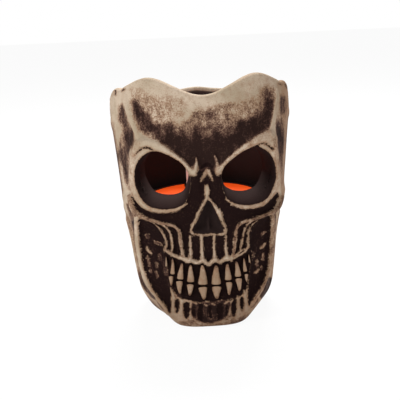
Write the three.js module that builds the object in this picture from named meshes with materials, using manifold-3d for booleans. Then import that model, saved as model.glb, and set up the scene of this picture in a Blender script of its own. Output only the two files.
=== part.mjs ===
// Hollow light-up skull decoration, open at the top, in millimetres.
// +Z is up, the face looks along -Y, and the origin is under the middle of the
// object, on the surface that it stands on.
import * as THREE from 'three';
import { mergeVertices } from 'three/addons/utils/BufferGeometryUtils.js';
import Module from 'manifold-3d';

const wasm = await Module();
wasm.setup();

// Driving dimensions of the moulded shell
const skullHeight = 207;
const sideReach = 74.2;
const faceReach = 68;
const backReach = 70.4;
const jawReach = 77;
const shellWall = 4.5;
const faceWall = 6.5;
const seamPlane = 8;
const seamGap = 0.3;
const lipRound = 1.6;
const footProud = 1;
const cutOverrun = 14;

// Face features: how far each stands out of, or sinks into, the face
const browRise = 4.6;
const browSpread = 4.8;
const templeRise = 1.6;
const templeSpread = 4.5;
const cheekRise = 2.6;
const cheekSpread = 4.2;
const jawRise = 3;
const jawSpread = 4.5;
const gumRise = 2.6;
const gumSpread = 3;
const rootRise = 1.6;
const rootSpread = 2.4;
const chinRise = 2.4;
const cheekHollowDepth = 5;
const templeHollowDepth = 2;
const toothBandDepth = 4.4;
const bridgeHollowDepth = 2;
const bridgeSideDepth = 1.6;
const midFaceDepth = 1.8;
const frownDepth = 1.5;
const jawHollowDepth = 2;
const orbitRise = 1.6;
const orbitSpread = 3.2;
const noseEdgeRise = 1.4;
const noseEdgeSpread = 3;
const toothProud = 6;
const toothRoot = 2.4;

// Eye sockets and nose hollow
const eyeHalfWidth = 20.6;
const eyeHalfHeight = 23.8;
const eyeOffset = 32.6;
const eyeLevel = 128;
const socketDepth = 22;
const socketWall = 2.6;
const innerEyeHalfWidth = 16.4;
const innerEyeHalfHeight = 19.4;
const innerEyeInset = 3.4;
const innerEyeLift = 2;
const noseHalfWidth = 14;
const noseHeight = 29;
const noseLevel = 85.5;
const noseDepth = 8;
const noseWall = 2.6;

// Lamp tray, glowing deck and light pillar
const deckDrop = 4.6;
const deckSideInset = 12.9;
const deckFrontInset = 11.6;
const deckRearInset = 10.3;
const deckThick = 2.5;
const deckSeat = 4;
const trayFlange = 2;
const trayWell = 12;
const trayWall = 2;
const trayLip = 0.5;
const trayLipWall = 1.8;
const pillarRadius = 12.4;
const pillarTall = 38;
const pillarWall = 1.6;
const pillarSetback = 7;
const pillarCollar = 4;
const fit = 0.3;
const looseFit = 0.5;

// Base plate, battery bay and door
const plateRecess = 1;
const plateThick = 3;
const cellRadius = 5.25;
const cellLength = 44.5;
const cellPitch = 11.3;
const cellNubRadius = 1.9;
const cellNubTall = 1;
const cellCount = 3;
const bayWall = 2;
const bayEnd = 3.6;
const bayCentre = 3;
const doorThick = 2;
const doorLedge = 1.6;
const doorSwingRoom = 1.4;
const contactThick = 0.6;
const springRadius = 3.2;
const contactPad = 8;
const hingeRadius = 2.2;
const pinRadius = 0.8;
const pinPlay = 0.3;
const earWidth = 5;
const gripWidth = 12;
const gripDepth = 5;

// Slide switch
const switchLength = 16;
const switchWidth = 9;
const switchTall = 6;
const switchWall = 1.6;
const switchOffset = 31;
const switchPlace = 6;
const knobLength = 5;
const knobWidth = 3;
const knobProud = 0.8;
const knobTravel = 4;
const knobFlange = 1;
const knobFlangeThick = 1.4;

// Screws, bosses and foot pads
const screwRadius = 1.4;
const screwHeadRadius = 3;
const screwHeadTall = 1.8;
const screwLength = 11;
const bossRadius = 4.6;
const plateBossTall = 13;
const deckBossTall = 15;
const bossBite = 2.4;
const bossRib = 3;
const plateEdge = 1.2;
const screwPlay = 0.3;
const padRadius = 4.5;
const padInset = 6.5;

// Circuit boards, lamps and leads
const boardRadius = 21;
const boardThick = 1.6;
const standoffTall = 2;
const standoffRadius = 3;
const standoffReach = 13;
const lampRadius = 2.5;
const lampTall = 5.4;
const lampFlange = 0.5;
const lampReach = 12;
const lampCount = 4;
const leadRadius = 0.8;
const leadHole = 3;
const leadSpacing = 2.6;

// Mesh fineness
const ringSteps = 48;
const roundSteps = 24;
const smallSteps = 12;
const screwSteps = 9;
const domeSteps = 5;
const outerRowCount = 30;
const upperRowCount = 5;
const innerRowCount = 7;
const leadSideCount = 6;
const leadSteps = 18;

// Section of the shell, as shares of the height and of the reaches
const stationShares = [0, 0.05, 0.106, 0.213, 0.319, 0.473, 0.628, 0.773, 0.845, 0.918, 1];
const sideShares = [0.733, 0.77, 0.8, 0.813, 0.841, 0.916, 0.957, 0.989, 1, 0.984, 0.943];
const faceShares = [0.676, 0.728, 0.794, 0.882, 0.941, 0.978, 1, 0.993, 0.971, 0.941, 0.882];
const backShares = [0.725, 0.783, 0.841, 0.899, 0.942, 0.986, 1, 1, 0.993, 0.978, 0.957];
const jawShares = [0.534, 0.635, 0.74, 0.8125, 0.87, 0.935, 0.987, 1, 1, 0.987, 0.948];
const jawSlantAngle = 66.7;

// How round the section is: 1 is an ellipse, and less has fuller corners
const faceRoundShare = 0.77;
const backRoundShare = 0.87;
const jawRoundShare = 0.167;
const roundnessBlendShare = 0.25;
const frontBlendShare = 0.6;
const reliefFadeShare = 0.3;
const sineLimitShare = 0.98;

// Height of the rim round the shell, as shares of the half turn and of the height
const rimTurnShares = [-0.05, 0, 0.05, 0.117, 0.17, 0.215, 0.25, 0.305, 0.34, 0.4, 0.445, 0.49, 0.6,
  0.8, 0.92, 1, 1.08];
const rimLevelShares = [0.941, 0.933, 0.941, 0.968, 0.99, 0.998, 0.991, 0.968, 0.953, 0.947, 0.929, 0.905,
  0.884, 0.866, 0.871, 0.88, 0.871];
const rimStartShare = 0.8;

// Lines of the face, as shares of the side reach and of the height
const browShares = [[0.1, 0.66], [0.19, 0.683], [0.32, 0.724], [0.48, 0.756], [0.62, 0.754], [0.7, 0.72]];
const templeShares = [[0.768, 0.94], [0.714, 0.826], [0.694, 0.773], [0.69, 0.72]];
const cheekShares = [[0.869, 0.512], [0.795, 0.469], [0.714, 0.449], [0.566, 0.444], [0.418, 0.439],
  [0.323, 0.428], [0.283, 0.372], [0.27, 0.304]];
const jawLineShares = [[0.72, 0.43], [0.71, 0.304], [0.68, 0.203], [0.593, 0.133], [0.5, 0.087]];
const gumShares = [[0.485, 0.353], [0.377, 0.324], [0.27, 0.306], [0.162, 0.285], [0, 0.276]];
const rootPlaceShares = [0.075, 0.195];
const rootSpanShares = [0.3, 0.385];
const cheekHollowShares = [0.575, 0.31, 0.12, 0.11];
const toothBandShares = [0, 0.215, 0.44, 0.08];
const midFaceShares = [0, 0.375, 0.28, 0.055];
const frownShares = [0, 0.715, 0.2, 0.05];
const jawHollowShares = [0.414, 0.348, 0.06, 0.11];
const bridgeShares = [0, 0.63, 0.075, 0.06];
const bridgeSideShares = [0.14, 0.55, 0.07, 0.1];
const chinShares = [0, 0.085, 0.24, 0.07];
const templeHollowShares = [0.36, 0.69, 0.09, 0.16];
const hollowSoftShare = 0.45;

// Socket outline and nose outline, as shares of their half sizes
const eyeOutlineShares = [[1, -0.1], [0.86, 0.55], [0.35, 0.98], [-0.37, 0.83], [-0.93, 0.42],
  [-0.97, -0.05], [-0.68, -0.65], [0, -1], [0.72, -0.82]];
const eyeSteps = 22;
const noseOutlineShares = [[0, 1], [0.27, 0.8], [0.55, 0.58], [0.86, 0.27], [1, 0.08], [0.8, 0],
  [0.3, 0.05]];
const noseFloorShare = 0.62;
const edgeLineShare = 1.1;
const noseSwellLevelShare = 0.4;
const noseSwellWidthShare = 1.3;
const noseSwellTallShare = 0.7;

// Teeth: place, level, width and height, as shares of the side reach and height
const upperTeethShares = [[0.076, 0.244, 0.1, 0.07], [0.202, 0.251, 0.085, 0.066],
  [0.31, 0.262, 0.078, 0.06], [0.398, 0.276, 0.066, 0.052], [0.465, 0.292, 0.05, 0.044]];
const lowerTeethShares = [[0.07, 0.168, 0.09, 0.058], [0.21, 0.181, 0.078, 0.056],
  [0.323, 0.196, 0.08, 0.052], [0.407, 0.216, 0.06, 0.044]];

// Tooth form: share of the way from its neck, then its width and how far it stands out
const toothFormShares = [[0, 0.35, 0.35], [0.5, 0.8, 1], [1, 1, 0.75]];
const toothCornerShare = 0.55;

// Angles of the shell's columns, in degrees from the middle of the face
const denseAngle = 62;
const denseColumnCount = 18;
const sideAngle = 98;
const sideColumnCount = 5;
const backColumnCount = 7;
const halfTurnAngle = 180;

// Where the bosses and the foot pads stand, in the same degrees
const rearPlateAngles = [135, -135];
const deckAngles = [52, -52, 126, -126];
const padAngles = [20, -20, 146, -146];

// Heights that the parts share
const shellFoot = footProud;
const plateFoot = shellFoot + plateRecess;
const plateTop = plateFoot + plateThick;
const deckTop = eyeLevel - eyeHalfHeight - socketWall - deckDrop;
const deckFoot = deckTop - deckThick;
const flangeTop = deckFoot - fit;
const flangeFoot = flangeTop - trayFlange;
const wellFloor = flangeFoot - trayWell + trayWall;

function smoothTable(places, values, place) {
  const last = places.length - 1;
  const slope = (k) => {
    const low = Math.max(k - 1, 0);
    const high = Math.min(k + 1, last);
    return (values[high] - values[low]) / (places[high] - places[low]);
  };
  let k = 0;
  while (k < last - 1 && place > places[k + 1]) k += 1;
  const span = places[k + 1] - places[k];
  const t = THREE.MathUtils.clamp((place - places[k]) / span, 0, 1);
  const startWeight = 2 * t ** 3 - 3 * t ** 2 + 1;
  const startPull = (t ** 3 - 2 * t ** 2 + t) * span;
  const endPull = (t ** 3 - t ** 2) * span;
  return startWeight * values[k] + (1 - startWeight) * values[k + 1]
    + startPull * slope(k) + endPull * slope(k + 1);
}

// Radius of the plain section, at an angle from the middle of the face
function sectionRadius(angle, z) {
  const level = z / skullHeight;
  const side = Math.abs(Math.sin(angle));
  const ahead = Math.cos(angle);
  const width = sideReach * smoothTable(stationShares, sideShares, level);
  const front = faceReach * smoothTable(stationShares, faceShares, level);
  const rear = backReach * smoothTable(stationShares, backShares, level);
  const jaw = jawReach * smoothTable(stationShares, jawShares, level);
  const frontPart = 0.5 + 0.5 * Math.tanh(ahead / roundnessBlendShare);
  const power = 2 / THREE.MathUtils.lerp(backRoundShare, faceRoundShare, frontPart);
  const jawPower = 2 / jawRoundShare;
  const jawTurn = THREE.MathUtils.degToRad(jawSlantAngle);
  const reach = ahead > 0 ? ahead / front : -ahead / rear;
  const oval = ((side / width) ** power + reach ** power) ** (1 / power);
  const slant = Math.max(0, side * Math.sin(jawTurn) + ahead * Math.cos(jawTurn)) / jaw;
  return (oval ** jawPower + slant ** jawPower) ** (-1 / jawPower);
}

function distanceToLine(x, z, lineShares) {
  let least = Infinity;
  for (let k = 0; k < lineShares.length - 1; k += 1) {
    const startX = lineShares[k][0] * sideReach;
    const startZ = lineShares[k][1] * skullHeight;
    const alongX = lineShares[k + 1][0] * sideReach - startX;
    const alongZ = lineShares[k + 1][1] * skullHeight - startZ;
    const onLine = ((x - startX) * alongX + (z - startZ) * alongZ) / (alongX ** 2 + alongZ ** 2);
    const t = THREE.MathUtils.clamp(onLine, 0, 1);
    least = Math.min(least, Math.hypot(x - startX - t * alongX, z - startZ - t * alongZ));
  }
  return least;
}

function ridge(x, z, lineShares, rise, spread) {
  return rise * Math.exp(-((distanceToLine(x, z, lineShares) / spread) ** 2));
}

// The lines just outside the socket's and the nose's outlines
const orbitLine = [...eyeOutlineShares, eyeOutlineShares[0]].map(([x, z]) => [
  (eyeOffset + x * eyeHalfWidth * edgeLineShare) / sideReach,
  (eyeLevel + z * eyeHalfHeight * edgeLineShare) / skullHeight]);
const noseLine = noseOutlineShares.map(([x, z]) => [(x * noseHalfWidth * edgeLineShare) / sideReach,
  (noseLevel + z * noseHeight) / skullHeight]);

// A soft-edged oblong patch, 1 in its middle and 0 outside
function patch(x, z, [placeShare, levelShare, reachShare, tallShare], width) {
  const across = Math.abs(x - placeShare * width) / (reachShare * width);
  const upward = Math.abs(z - levelShare * skullHeight) / (tallShare * skullHeight);
  const far = Math.hypot(across ** 2, upward ** 2) ** 0.5;
  return 1 - THREE.MathUtils.smoothstep(far, 1 - hollowSoftShare, 1 + hollowSoftShare);
}

// How far the moulded features stand out of the plain section
function relief(angle, z) {
  const x = Math.abs(Math.sin(angle)) * sectionRadius(angle, z);
  const ahead = THREE.MathUtils.smoothstep(Math.cos(angle), 0, reliefFadeShare);
  if (ahead === 0) return 0;
  const turn = Math.abs(angle) / Math.PI;
  let height = ridge(x, z, browShares, browRise, browSpread);
  height += ridge(x, z, templeShares, templeRise, templeSpread);
  height += ridge(x, z, cheekShares, cheekRise, cheekSpread);
  height += ridge(x, z, jawLineShares, jawRise, jawSpread);
  height += ridge(x, z, gumShares, gumRise, gumSpread);
  for (const placeShare of rootPlaceShares) {
    const root = rootSpanShares.map((levelShare) => [placeShare, levelShare]);
    height += ridge(x, z, root, rootRise, rootSpread);
  }
  height += ridge(x, z, orbitLine, orbitRise, orbitSpread);
  height += ridge(x, z, noseLine, noseEdgeRise, noseEdgeSpread);
  height += chinRise * patch(x, z, chinShares, sideReach);
  height -= cheekHollowDepth * patch(x, z, cheekHollowShares, sideReach);
  height -= toothBandDepth * patch(x, z, toothBandShares, sideReach);
  height -= bridgeHollowDepth * patch(x, z, bridgeShares, sideReach);
  height -= bridgeSideDepth * patch(x, z, bridgeSideShares, sideReach);
  height -= midFaceDepth * patch(x, z, midFaceShares, sideReach);
  height -= frownDepth * patch(x, z, frownShares, sideReach);
  height -= templeHollowDepth * patch(turn, z, templeHollowShares, 1);
  height -= jawHollowDepth * patch(turn, z, jawHollowShares, 1);
  return height * ahead;
}

function outerRadius(angle, z) {
  return sectionRadius(angle, z) + relief(angle, z);
}

// The inner wall keeps a plain section, with a swelling behind the nose hollow
function innerRadius(angle, z) {
  const plain = sectionRadius(angle, z);
  const frontPart = THREE.MathUtils.smoothstep(Math.cos(angle), 0, frontBlendShare);
  const x = Math.sin(angle) * plain;
  const above = (z - noseLevel - noseHeight * noseSwellLevelShare) / (noseHeight * noseSwellTallShare);
  const nearNose = Math.exp(-((x / (noseHalfWidth * noseSwellWidthShare)) ** 2) - above ** 2);
  const swelling = (noseDepth + noseWall - faceWall) * nearNose * frontPart;
  return plain - THREE.MathUtils.lerp(shellWall, faceWall, frontPart) - swelling;
}

function rimHeight(angle) {
  return skullHeight * smoothTable(rimTurnShares, rimLevelShares, Math.abs(angle) / Math.PI);
}

function around(radius, angle, z) {
  return new THREE.Vector3(radius * Math.sin(angle), -radius * Math.cos(angle), z);
}

// Depth of the shell's outer surface at a place on the face
function surfaceDepth(x, z) {
  let angle = Math.atan2(x, faceReach);
  for (let step = 0; step < smallSteps; step += 1) {
    const radius = outerRadius(angle, z);
    angle = Math.asin(THREE.MathUtils.clamp(x / radius, -sineLimitShare, sineLimitShare));
  }
  return -outerRadius(angle, z) * Math.cos(angle);
}

// Merge shared corners, drop collapsed triangles and point the faces outwards
function tidy(source) {
  const bare = new THREE.BufferGeometry();
  bare.setAttribute('position', source.getAttribute('position').clone());
  if (source.index) bare.setIndex(Array.from(source.index.array));
  const merged = mergeVertices(bare);
  const corners = merged.index.array;
  const places = merged.getAttribute('position');
  const kept = [];
  let volume = 0;
  const [a, b, c] = [new THREE.Vector3(), new THREE.Vector3(), new THREE.Vector3()];
  for (let k = 0; k < corners.length; k += 3) {
    const [i, j, m] = [corners[k], corners[k + 1], corners[k + 2]];
    if (i === j || j === m || m === i) continue;
    kept.push(i, j, m);
    a.fromBufferAttribute(places, i);
    b.fromBufferAttribute(places, j);
    c.fromBufferAttribute(places, m);
    volume += a.dot(b.cross(c));
  }
  merged.setIndex(volume < 0 ? kept.reverse() : kept);
  return merged;
}

function toSolid(geometry) {
  const clean = tidy(geometry);
  const vertProperties = new Float32Array(clean.getAttribute('position').array);
  const triVerts = new Uint32Array(clean.index.array);
  return new wasm.Manifold(new wasm.Mesh({ numProp: 3, vertProperties, triVerts }));
}

function toGeometry(solid) {
  const mesh = solid.getMesh();
  const geometry = new THREE.BufferGeometry();
  geometry.setAttribute('position', new THREE.BufferAttribute(new Float32Array(mesh.vertProperties), 3));
  geometry.setIndex(Array.from(mesh.triVerts));
  return geometry;
}

// Join some shapes into one, then cut others from it
function shaped(joined, removed = []) {
  let solid = toSolid(joined[0]);
  for (const piece of joined.slice(1)) solid = solid.add(toSolid(piece));
  for (const piece of removed) solid = solid.subtract(toSolid(piece));
  return toGeometry(solid);
}

function indexed(points, corners) {
  const geometry = new THREE.BufferGeometry();
  const places = points.flatMap((point) => point.toArray());
  geometry.setAttribute('position', new THREE.Float32BufferAttribute(places, 3));
  geometry.setIndex(corners);
  return geometry;
}

// Columns of points, closed round the object and round each column
function closedRing(columns) {
  const size = columns[0].length;
  const corners = [];
  columns.forEach((column, k) => {
    const next = (k + 1) % columns.length;
    for (let row = 0; row < size; row += 1) {
      const above = (row + 1) % size;
      const [a, b, c, d] = [k * size + row, next * size + row, next * size + above, k * size + above];
      corners.push(a, b, c, a, c, d);
    }
  });
  return indexed(columns.flat(), corners);
}

// A skin through rings of points, with a flat cap at both ends
function loft(rings) {
  const size = rings[0].length;
  const points = rings.flat();
  const corners = [];
  for (let ring = 0; ring < rings.length - 1; ring += 1) {
    for (let k = 0; k < size; k += 1) {
      const next = (k + 1) % size;
      const [a, b] = [ring * size + k, ring * size + next];
      corners.push(a, b, b + size, a, b + size, a + size);
    }
  }
  for (const [ring, flip] of [[0, true], [rings.length - 1, false]]) {
    const middle = new THREE.Vector3();
    rings[ring].forEach((point) => middle.add(point));
    points.push(middle.divideScalar(size));
    for (let k = 0; k < size; k += 1) {
      const edge = [ring * size + k, ring * size + ((k + 1) % size)];
      corners.push(points.length - 1, ...(flip ? edge.reverse() : edge));
    }
  }
  return indexed(points, corners);
}

function box(x0, x1, y0, y1, z0, z1) {
  const geometry = new THREE.BoxGeometry(x1 - x0, y1 - y0, z1 - z0);
  return geometry.translate((x0 + x1) / 2, (y0 + y1) / 2, (z0 + z1) / 2);
}

function block(x, y, width, length, z0, z1) {
  return box(x - width / 2, x + width / 2, y - length / 2, y + length / 2, z0, z1);
}

function upright(radius, z0, z1, x, y, steps = smallSteps) {
  const geometry = new THREE.CylinderGeometry(radius, radius, z1 - z0, steps);
  return geometry.rotateX(Math.PI / 2).translate(x, y, (z0 + z1) / 2);
}

function crosswise(radius, x0, x1, y, z) {
  const geometry = new THREE.CylinderGeometry(radius, radius, x1 - x0, smallSteps);
  return geometry.rotateZ(Math.PI / 2).translate((x0 + x1) / 2, y, z);
}

function lengthwise(radius, y0, y1, x, z, steps = smallSteps) {
  const geometry = new THREE.CylinderGeometry(radius, radius, y1 - y0, steps);
  return geometry.translate(x, (y0 + y1) / 2, z);
}

// A turned shape, from a profile of radius and height
function turned(profile, x, y, steps = roundSteps) {
  const points = profile.map(([radius, z]) => new THREE.Vector2(radius, z));
  return new THREE.LatheGeometry(points, steps).rotateX(Math.PI / 2).translate(x, y, 0);
}

function columnAngles() {
  const half = [];
  for (let k = 0; k < denseColumnCount; k += 1) half.push((k * denseAngle) / denseColumnCount);
  for (let k = 0; k < sideColumnCount; k += 1) {
    half.push(denseAngle + (k * (sideAngle - denseAngle)) / sideColumnCount);
  }
  for (let k = 0; k <= backColumnCount; k += 1) {
    half.push(sideAngle + (k * (halfTurnAngle - sideAngle)) / backColumnCount);
  }
  const other = half.slice(1, -1).map((turn) => -turn).reverse();
  return [...half, ...other].map((turn) => THREE.MathUtils.degToRad(turn));
}

function shellColumn(angle) {
  const rim = rimHeight(angle);
  const upperStart = rimStartShare * skullHeight;
  const column = [];
  for (let row = 0; row <= outerRowCount; row += 1) {
    const z = shellFoot + (row * (upperStart - shellFoot)) / outerRowCount;
    column.push(around(outerRadius(angle, z), angle, z));
  }
  for (let row = 1; row <= upperRowCount; row += 1) {
    const z = upperStart + (row * (rim - lipRound - upperStart)) / upperRowCount;
    column.push(around(outerRadius(angle, z), angle, z));
  }
  const outside = outerRadius(angle, rim - lipRound);
  const inside = innerRadius(angle, rim - lipRound);
  column.push(around(outside - lipRound, angle, rim));
  column.push(around(inside + lipRound, angle, rim));
  for (let row = 0; row <= innerRowCount; row += 1) {
    const z = rim - lipRound - (row * (rim - lipRound - shellFoot)) / innerRowCount;
    column.push(around(innerRadius(angle, z), angle, z));
  }
  return column;
}

// A flat plate that fills the shell's inside at one height
function innerPlate(z0, z1, gap) {
  const outline = columnAngles().map((angle) => around(innerRadius(angle, z0) - gap, angle, z0));
  const shape = new THREE.Shape(outline.map((point) => new THREE.Vector2(point.x, point.y)));
  return new THREE.ExtrudeGeometry(shape, { depth: z1 - z0, bevelEnabled: false }).translate(0, 0, z0);
}

function eyeOutline(side) {
  const points = eyeOutlineShares.map(([x, z]) => new THREE.Vector3(x, 0, z));
  const curve = new THREE.CatmullRomCurve3(points, true);
  return Array.from({ length: eyeSteps }, (_, k) => {
    const point = curve.getPoint(k / eyeSteps);
    return { x: side * point.x, z: point.z };
  });
}

function eyeRing(side, halfWidth, halfHeight, nearer, lift, depthOf) {
  return eyeOutline(side).map((share) => {
    const rimX = side * eyeOffset + share.x * eyeHalfWidth;
    const rimZ = eyeLevel + share.z * eyeHalfHeight;
    const x = side * (eyeOffset - nearer) + share.x * halfWidth;
    return new THREE.Vector3(x, depthOf(surfaceDepth(rimX, rimZ)), eyeLevel + lift + share.z * halfHeight);
  });
}

// The socket's hole tapers inwards; its outside is the same form with a wall
function socketHole(side) {
  const ahead = eyeRing(side, eyeHalfWidth, eyeHalfHeight, 0, 0, () => -faceReach - cutOverrun);
  const rim = eyeRing(side, eyeHalfWidth, eyeHalfHeight, 0, 0, (depth) => depth);
  const end = eyeRing(side, innerEyeHalfWidth, innerEyeHalfHeight, innerEyeInset, innerEyeLift,
    (depth) => depth + socketDepth);
  const past = end.map((point) => point.clone().setY(point.y + socketWall));
  return loft([ahead, rim, end, past]);
}

function socketBody(side) {
  const wall = socketWall;
  const start = eyeRing(side, eyeHalfWidth + wall, eyeHalfHeight + wall, 0, 0, (depth) => depth + wall);
  const end = eyeRing(side, innerEyeHalfWidth + wall, innerEyeHalfHeight + wall, innerEyeInset,
    innerEyeLift, (depth) => depth + socketDepth);
  return loft([start, end]);
}

function noseRing(scale, depthOf) {
  const mirrored = noseOutlineShares.slice(1).map(([x, z]) => [-x, z]).reverse();
  return [...noseOutlineShares, ...mirrored].map(([x, z]) => {
    const middle = noseLevel + noseHeight / 3;
    const placeX = x * noseHalfWidth;
    const placeZ = noseLevel + z * noseHeight;
    const depth = depthOf(surfaceDepth(placeX, placeZ));
    return new THREE.Vector3(placeX * scale, depth, middle + (placeZ - middle) * scale);
  });
}

function noseHollow() {
  const ahead = noseRing(1, () => -faceReach - cutOverrun);
  const rim = noseRing(1, (depth) => depth);
  return loft([ahead, rim, noseRing(noseFloorShare, (depth) => depth + noseDepth)]);
}

// A tooth stands out of the face, narrow at its neck and broad at its edge
function tooth(side, [placeShare, levelShare, widthShare, tallShare], edgeDown) {
  const x = side * placeShare * sideReach;
  const middle = levelShare * skullHeight;
  const tall = tallShare * skullHeight;
  const width = widthShare * sideReach;
  const growth = edgeDown ? -tall : tall;
  const fall = surfaceDepth(x + width / 2, middle) - surfaceDepth(x - width / 2, middle);
  const slope = Math.atan2(fall, width);
  const rings = toothFormShares.map(([alongShare, widthPart, proudPart]) => {
    const z = middle + growth * (alongShare - 1 / 2);
    const depth = surfaceDepth(x, z);
    const half = (width * widthPart) / 2;
    const front = -toothProud * proudPart;
    const section = [[-half, toothRoot], [-half, front / 2], [-half * toothCornerShare, front],
      [half * toothCornerShare, front], [half, front / 2], [half, toothRoot]];
    return section.map(([across, deep]) => new THREE.Vector3(
      x + across * Math.cos(slope) - deep * Math.sin(slope),
      depth + across * Math.sin(slope) + deep * Math.cos(slope),
      z,
    ));
  });
  return loft(rings);
}

function teeth() {
  const solids = [];
  for (const side of [-1, 1]) {
    for (const place of upperTeethShares) solids.push(tooth(side, place, true));
    for (const place of lowerTeethShares) solids.push(tooth(side, place, false));
  }
  return solids;
}

// Where a screw boss stands, at a distance in from the shell's inner wall
function bossPlace(degrees, z, stand) {
  const angle = THREE.MathUtils.degToRad(degrees);
  return around(innerRadius(angle, z) - stand, angle, z);
}

// The same, at a distance to one side instead of at an angle
function bossBeside(x, z, stand) {
  let angle = Math.atan2(x, faceReach);
  for (let step = 0; step < smallSteps; step += 1) {
    const sine = x / (innerRadius(angle, z) - stand);
    angle = Math.asin(THREE.MathUtils.clamp(sine, -sineLimitShare, sineLimitShare));
  }
  return around(innerRadius(angle, z) - stand, angle, z);
}

const bayHalfWidth = (cellPitch * (cellCount - 1)) / 2 + cellRadius + looseFit;
const plateStand = screwHeadRadius + fit + looseFit + plateEdge;
const deckStand = bossRadius - bossBite;
const plateBossReach = bayHalfWidth + bayWall + bossRadius + fit;
const plateBosses = [bossBeside(plateBossReach, plateFoot, plateStand),
  bossBeside(-plateBossReach, plateFoot, plateStand),
  ...rearPlateAngles.map((degrees) => bossPlace(degrees, plateFoot, plateStand))];
const deckRearRoom = innerRadius(Math.PI, deckTop) - deckRearInset;
const deckFrontRoom = innerRadius(0, deckTop) - deckFrontInset;
const deckSideRoom = innerRadius(Math.PI / 2, deckTop) - deckSideInset;
const deckCentre = (deckRearRoom - deckFrontRoom) / 2;
const deckRadius = Math.min(deckSideRoom, (deckRearRoom + deckFrontRoom) / 2);
const pillarPlace = deckCentre + deckRadius - pillarSetback;
const deckBosses = deckAngles.map((degrees) => bossPlace(degrees, flangeFoot - deckBossTall, deckStand));

// A rib from each boss into the wall that carries it
function ribsAt(places, z0, z1) {
  return places.map((place) => {
    const angle = Math.atan2(place.x, -place.y);
    const start = Math.hypot(place.x, place.y);
    const end = innerRadius(angle, z0) + bossBite;
    return box(-bossRib / 2, bossRib / 2, -end, -start, z0, z1).rotateZ(angle);
  });
}

function uprightsAt(places, radius, z0, z1) {
  return places.map((place) => upright(radius, z0, z1, place.x, place.y));
}

// The plain skin round the object, before it is split into a face and a rear
const plateBossFoot = plateTop + fit;
const plateBossTop = plateBossFoot + plateBossTall;
const deckBossTop = flangeFoot - fit;
const deckBossFoot = deckBossTop - deckBossTall;
const pilotRadius = screwRadius + screwPlay;
const pilotEnd = screwPlay * 2;
const wholeShell = closedRing(columnAngles().map(shellColumn));

function shellHalf(front) {
  const far = 2 * sideReach;
  const seam = seamPlane + (front ? -seamGap / 2 : seamGap / 2);
  const half = front ? box(-far, far, -far, seam, -far, skullHeight + far)
    : box(-far, far, seam, far, -far, skullHeight + far);
  const ownPlaces = (places) => places.filter((place) => (place.y < seamPlane) === front);
  const lower = ownPlaces(plateBosses);
  const upper = ownPlaces(deckBosses);
  const skin = toGeometry(toSolid(wholeShell).intersect(toSolid(half)));
  const bosses = [...uprightsAt(lower, bossRadius, plateBossFoot, plateBossTop),
    ...uprightsAt(upper, bossRadius, deckBossFoot, deckBossTop),
    ...ribsAt(lower, plateBossFoot, plateBossTop)];
  const pilots = [...uprightsAt(lower, pilotRadius, shellFoot, plateBossTop - pilotEnd),
    ...uprightsAt(upper, pilotRadius, deckBossTop - screwLength, deckBossTop + screwLength)];
  if (!front) return shaped([skin, ...bosses], pilots);
  const sockets = [socketBody(-1), socketBody(1)];
  const hollows = [socketHole(-1), socketHole(1), noseHollow()];
  return shaped([skin, ...sockets, ...teeth(), ...bosses], [...hollows, ...pilots]);
}

// Battery bay: three cells side by side, under a hinged door
const bayHalfLength = cellLength / 2 + bayEnd;
const doorTop = plateFoot + doorThick;
const cellLevel = doorTop + fit + cellRadius;
const bayTop = cellLevel + cellRadius + fit;
const hingePlace = bayCentre + bayHalfLength + bayWall + hingeRadius + looseFit;
const hingeLevel = plateFoot + hingeRadius;
const hingeHalf = bayHalfWidth - earWidth + fit;
const doorHalfWidth = bayHalfWidth + doorLedge;
const doorFront = bayCentre - bayHalfLength - doorLedge;
const doorRear = bayCentre + bayHalfLength + doorLedge;
const contactPlace = bayHalfLength - fit - contactThick / 2;
const plateScrewTop = plateFoot + screwHeadTall;
const cellPlaces = Array.from({ length: cellCount }, (_, k) => (k - (cellCount - 1) / 2) * cellPitch);

function basePlate() {
  const below = plateFoot - cutOverrun;
  const plate = innerPlate(plateFoot, plateTop, looseFit);
  const bayFront = bayCentre - bayHalfLength;
  const bayRear = bayCentre + bayHalfLength;
  const hingeGap = hingeHalf + fit;
  const bay = box(-bayHalfWidth - bayWall, bayHalfWidth + bayWall, bayFront - bayWall, bayRear + bayWall,
    plateFoot, bayTop + bayWall);
  const ears = [-1, 1].map((side) => {
    const x = side * (hingeGap + earWidth / 2);
    const length = 2 * (hingeRadius + looseFit);
    return block(x, hingePlace, earWidth, length, plateFoot, hingeLevel + hingeRadius);
  });
  const cavity = box(-bayHalfWidth, bayHalfWidth, bayFront, bayRear, below, bayTop);
  const recess = box(-doorHalfWidth - fit, doorHalfWidth + fit, doorFront - fit, doorRear + doorSwingRoom,
    below, doorTop + fit);
  const notchEnd = hingePlace + hingeRadius + looseFit;
  const notch = box(-hingeGap, hingeGap, bayRear + bayWall, notchEnd, below, hingeLevel + cutOverrun);
  const step = box(-hingeGap, hingeGap, doorRear, hingePlace, below, doorTop + fit);
  const grip = box(-gripWidth / 2, gripWidth / 2, doorFront - gripDepth, doorFront, below, doorTop);
  const pinHole = crosswise(pinRadius + pinPlay, -hingeGap - earWidth + fit, hingeGap + earWidth - fit,
    hingePlace, hingeLevel);
  const slot = block(-switchOffset, switchPlace, knobWidth + 2 * fit, knobLength + knobTravel + 2 * fit,
    below, plateTop + cutOverrun);
  const leadHoles = uprightsAt(leadExits, leadRadius + fit, cellLevel, bayTop + cutOverrun);
  const screwHoles = [...uprightsAt(plateBosses, pilotRadius, below, plateTop + cutOverrun),
    ...uprightsAt(plateBosses, screwHeadRadius + fit, below, plateScrewTop + fit)];
  return shaped([plate, bay, ...ears],
    [cavity, recess, notch, step, grip, pinHole, slot, ...leadHoles, ...screwHoles]);
}

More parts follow.
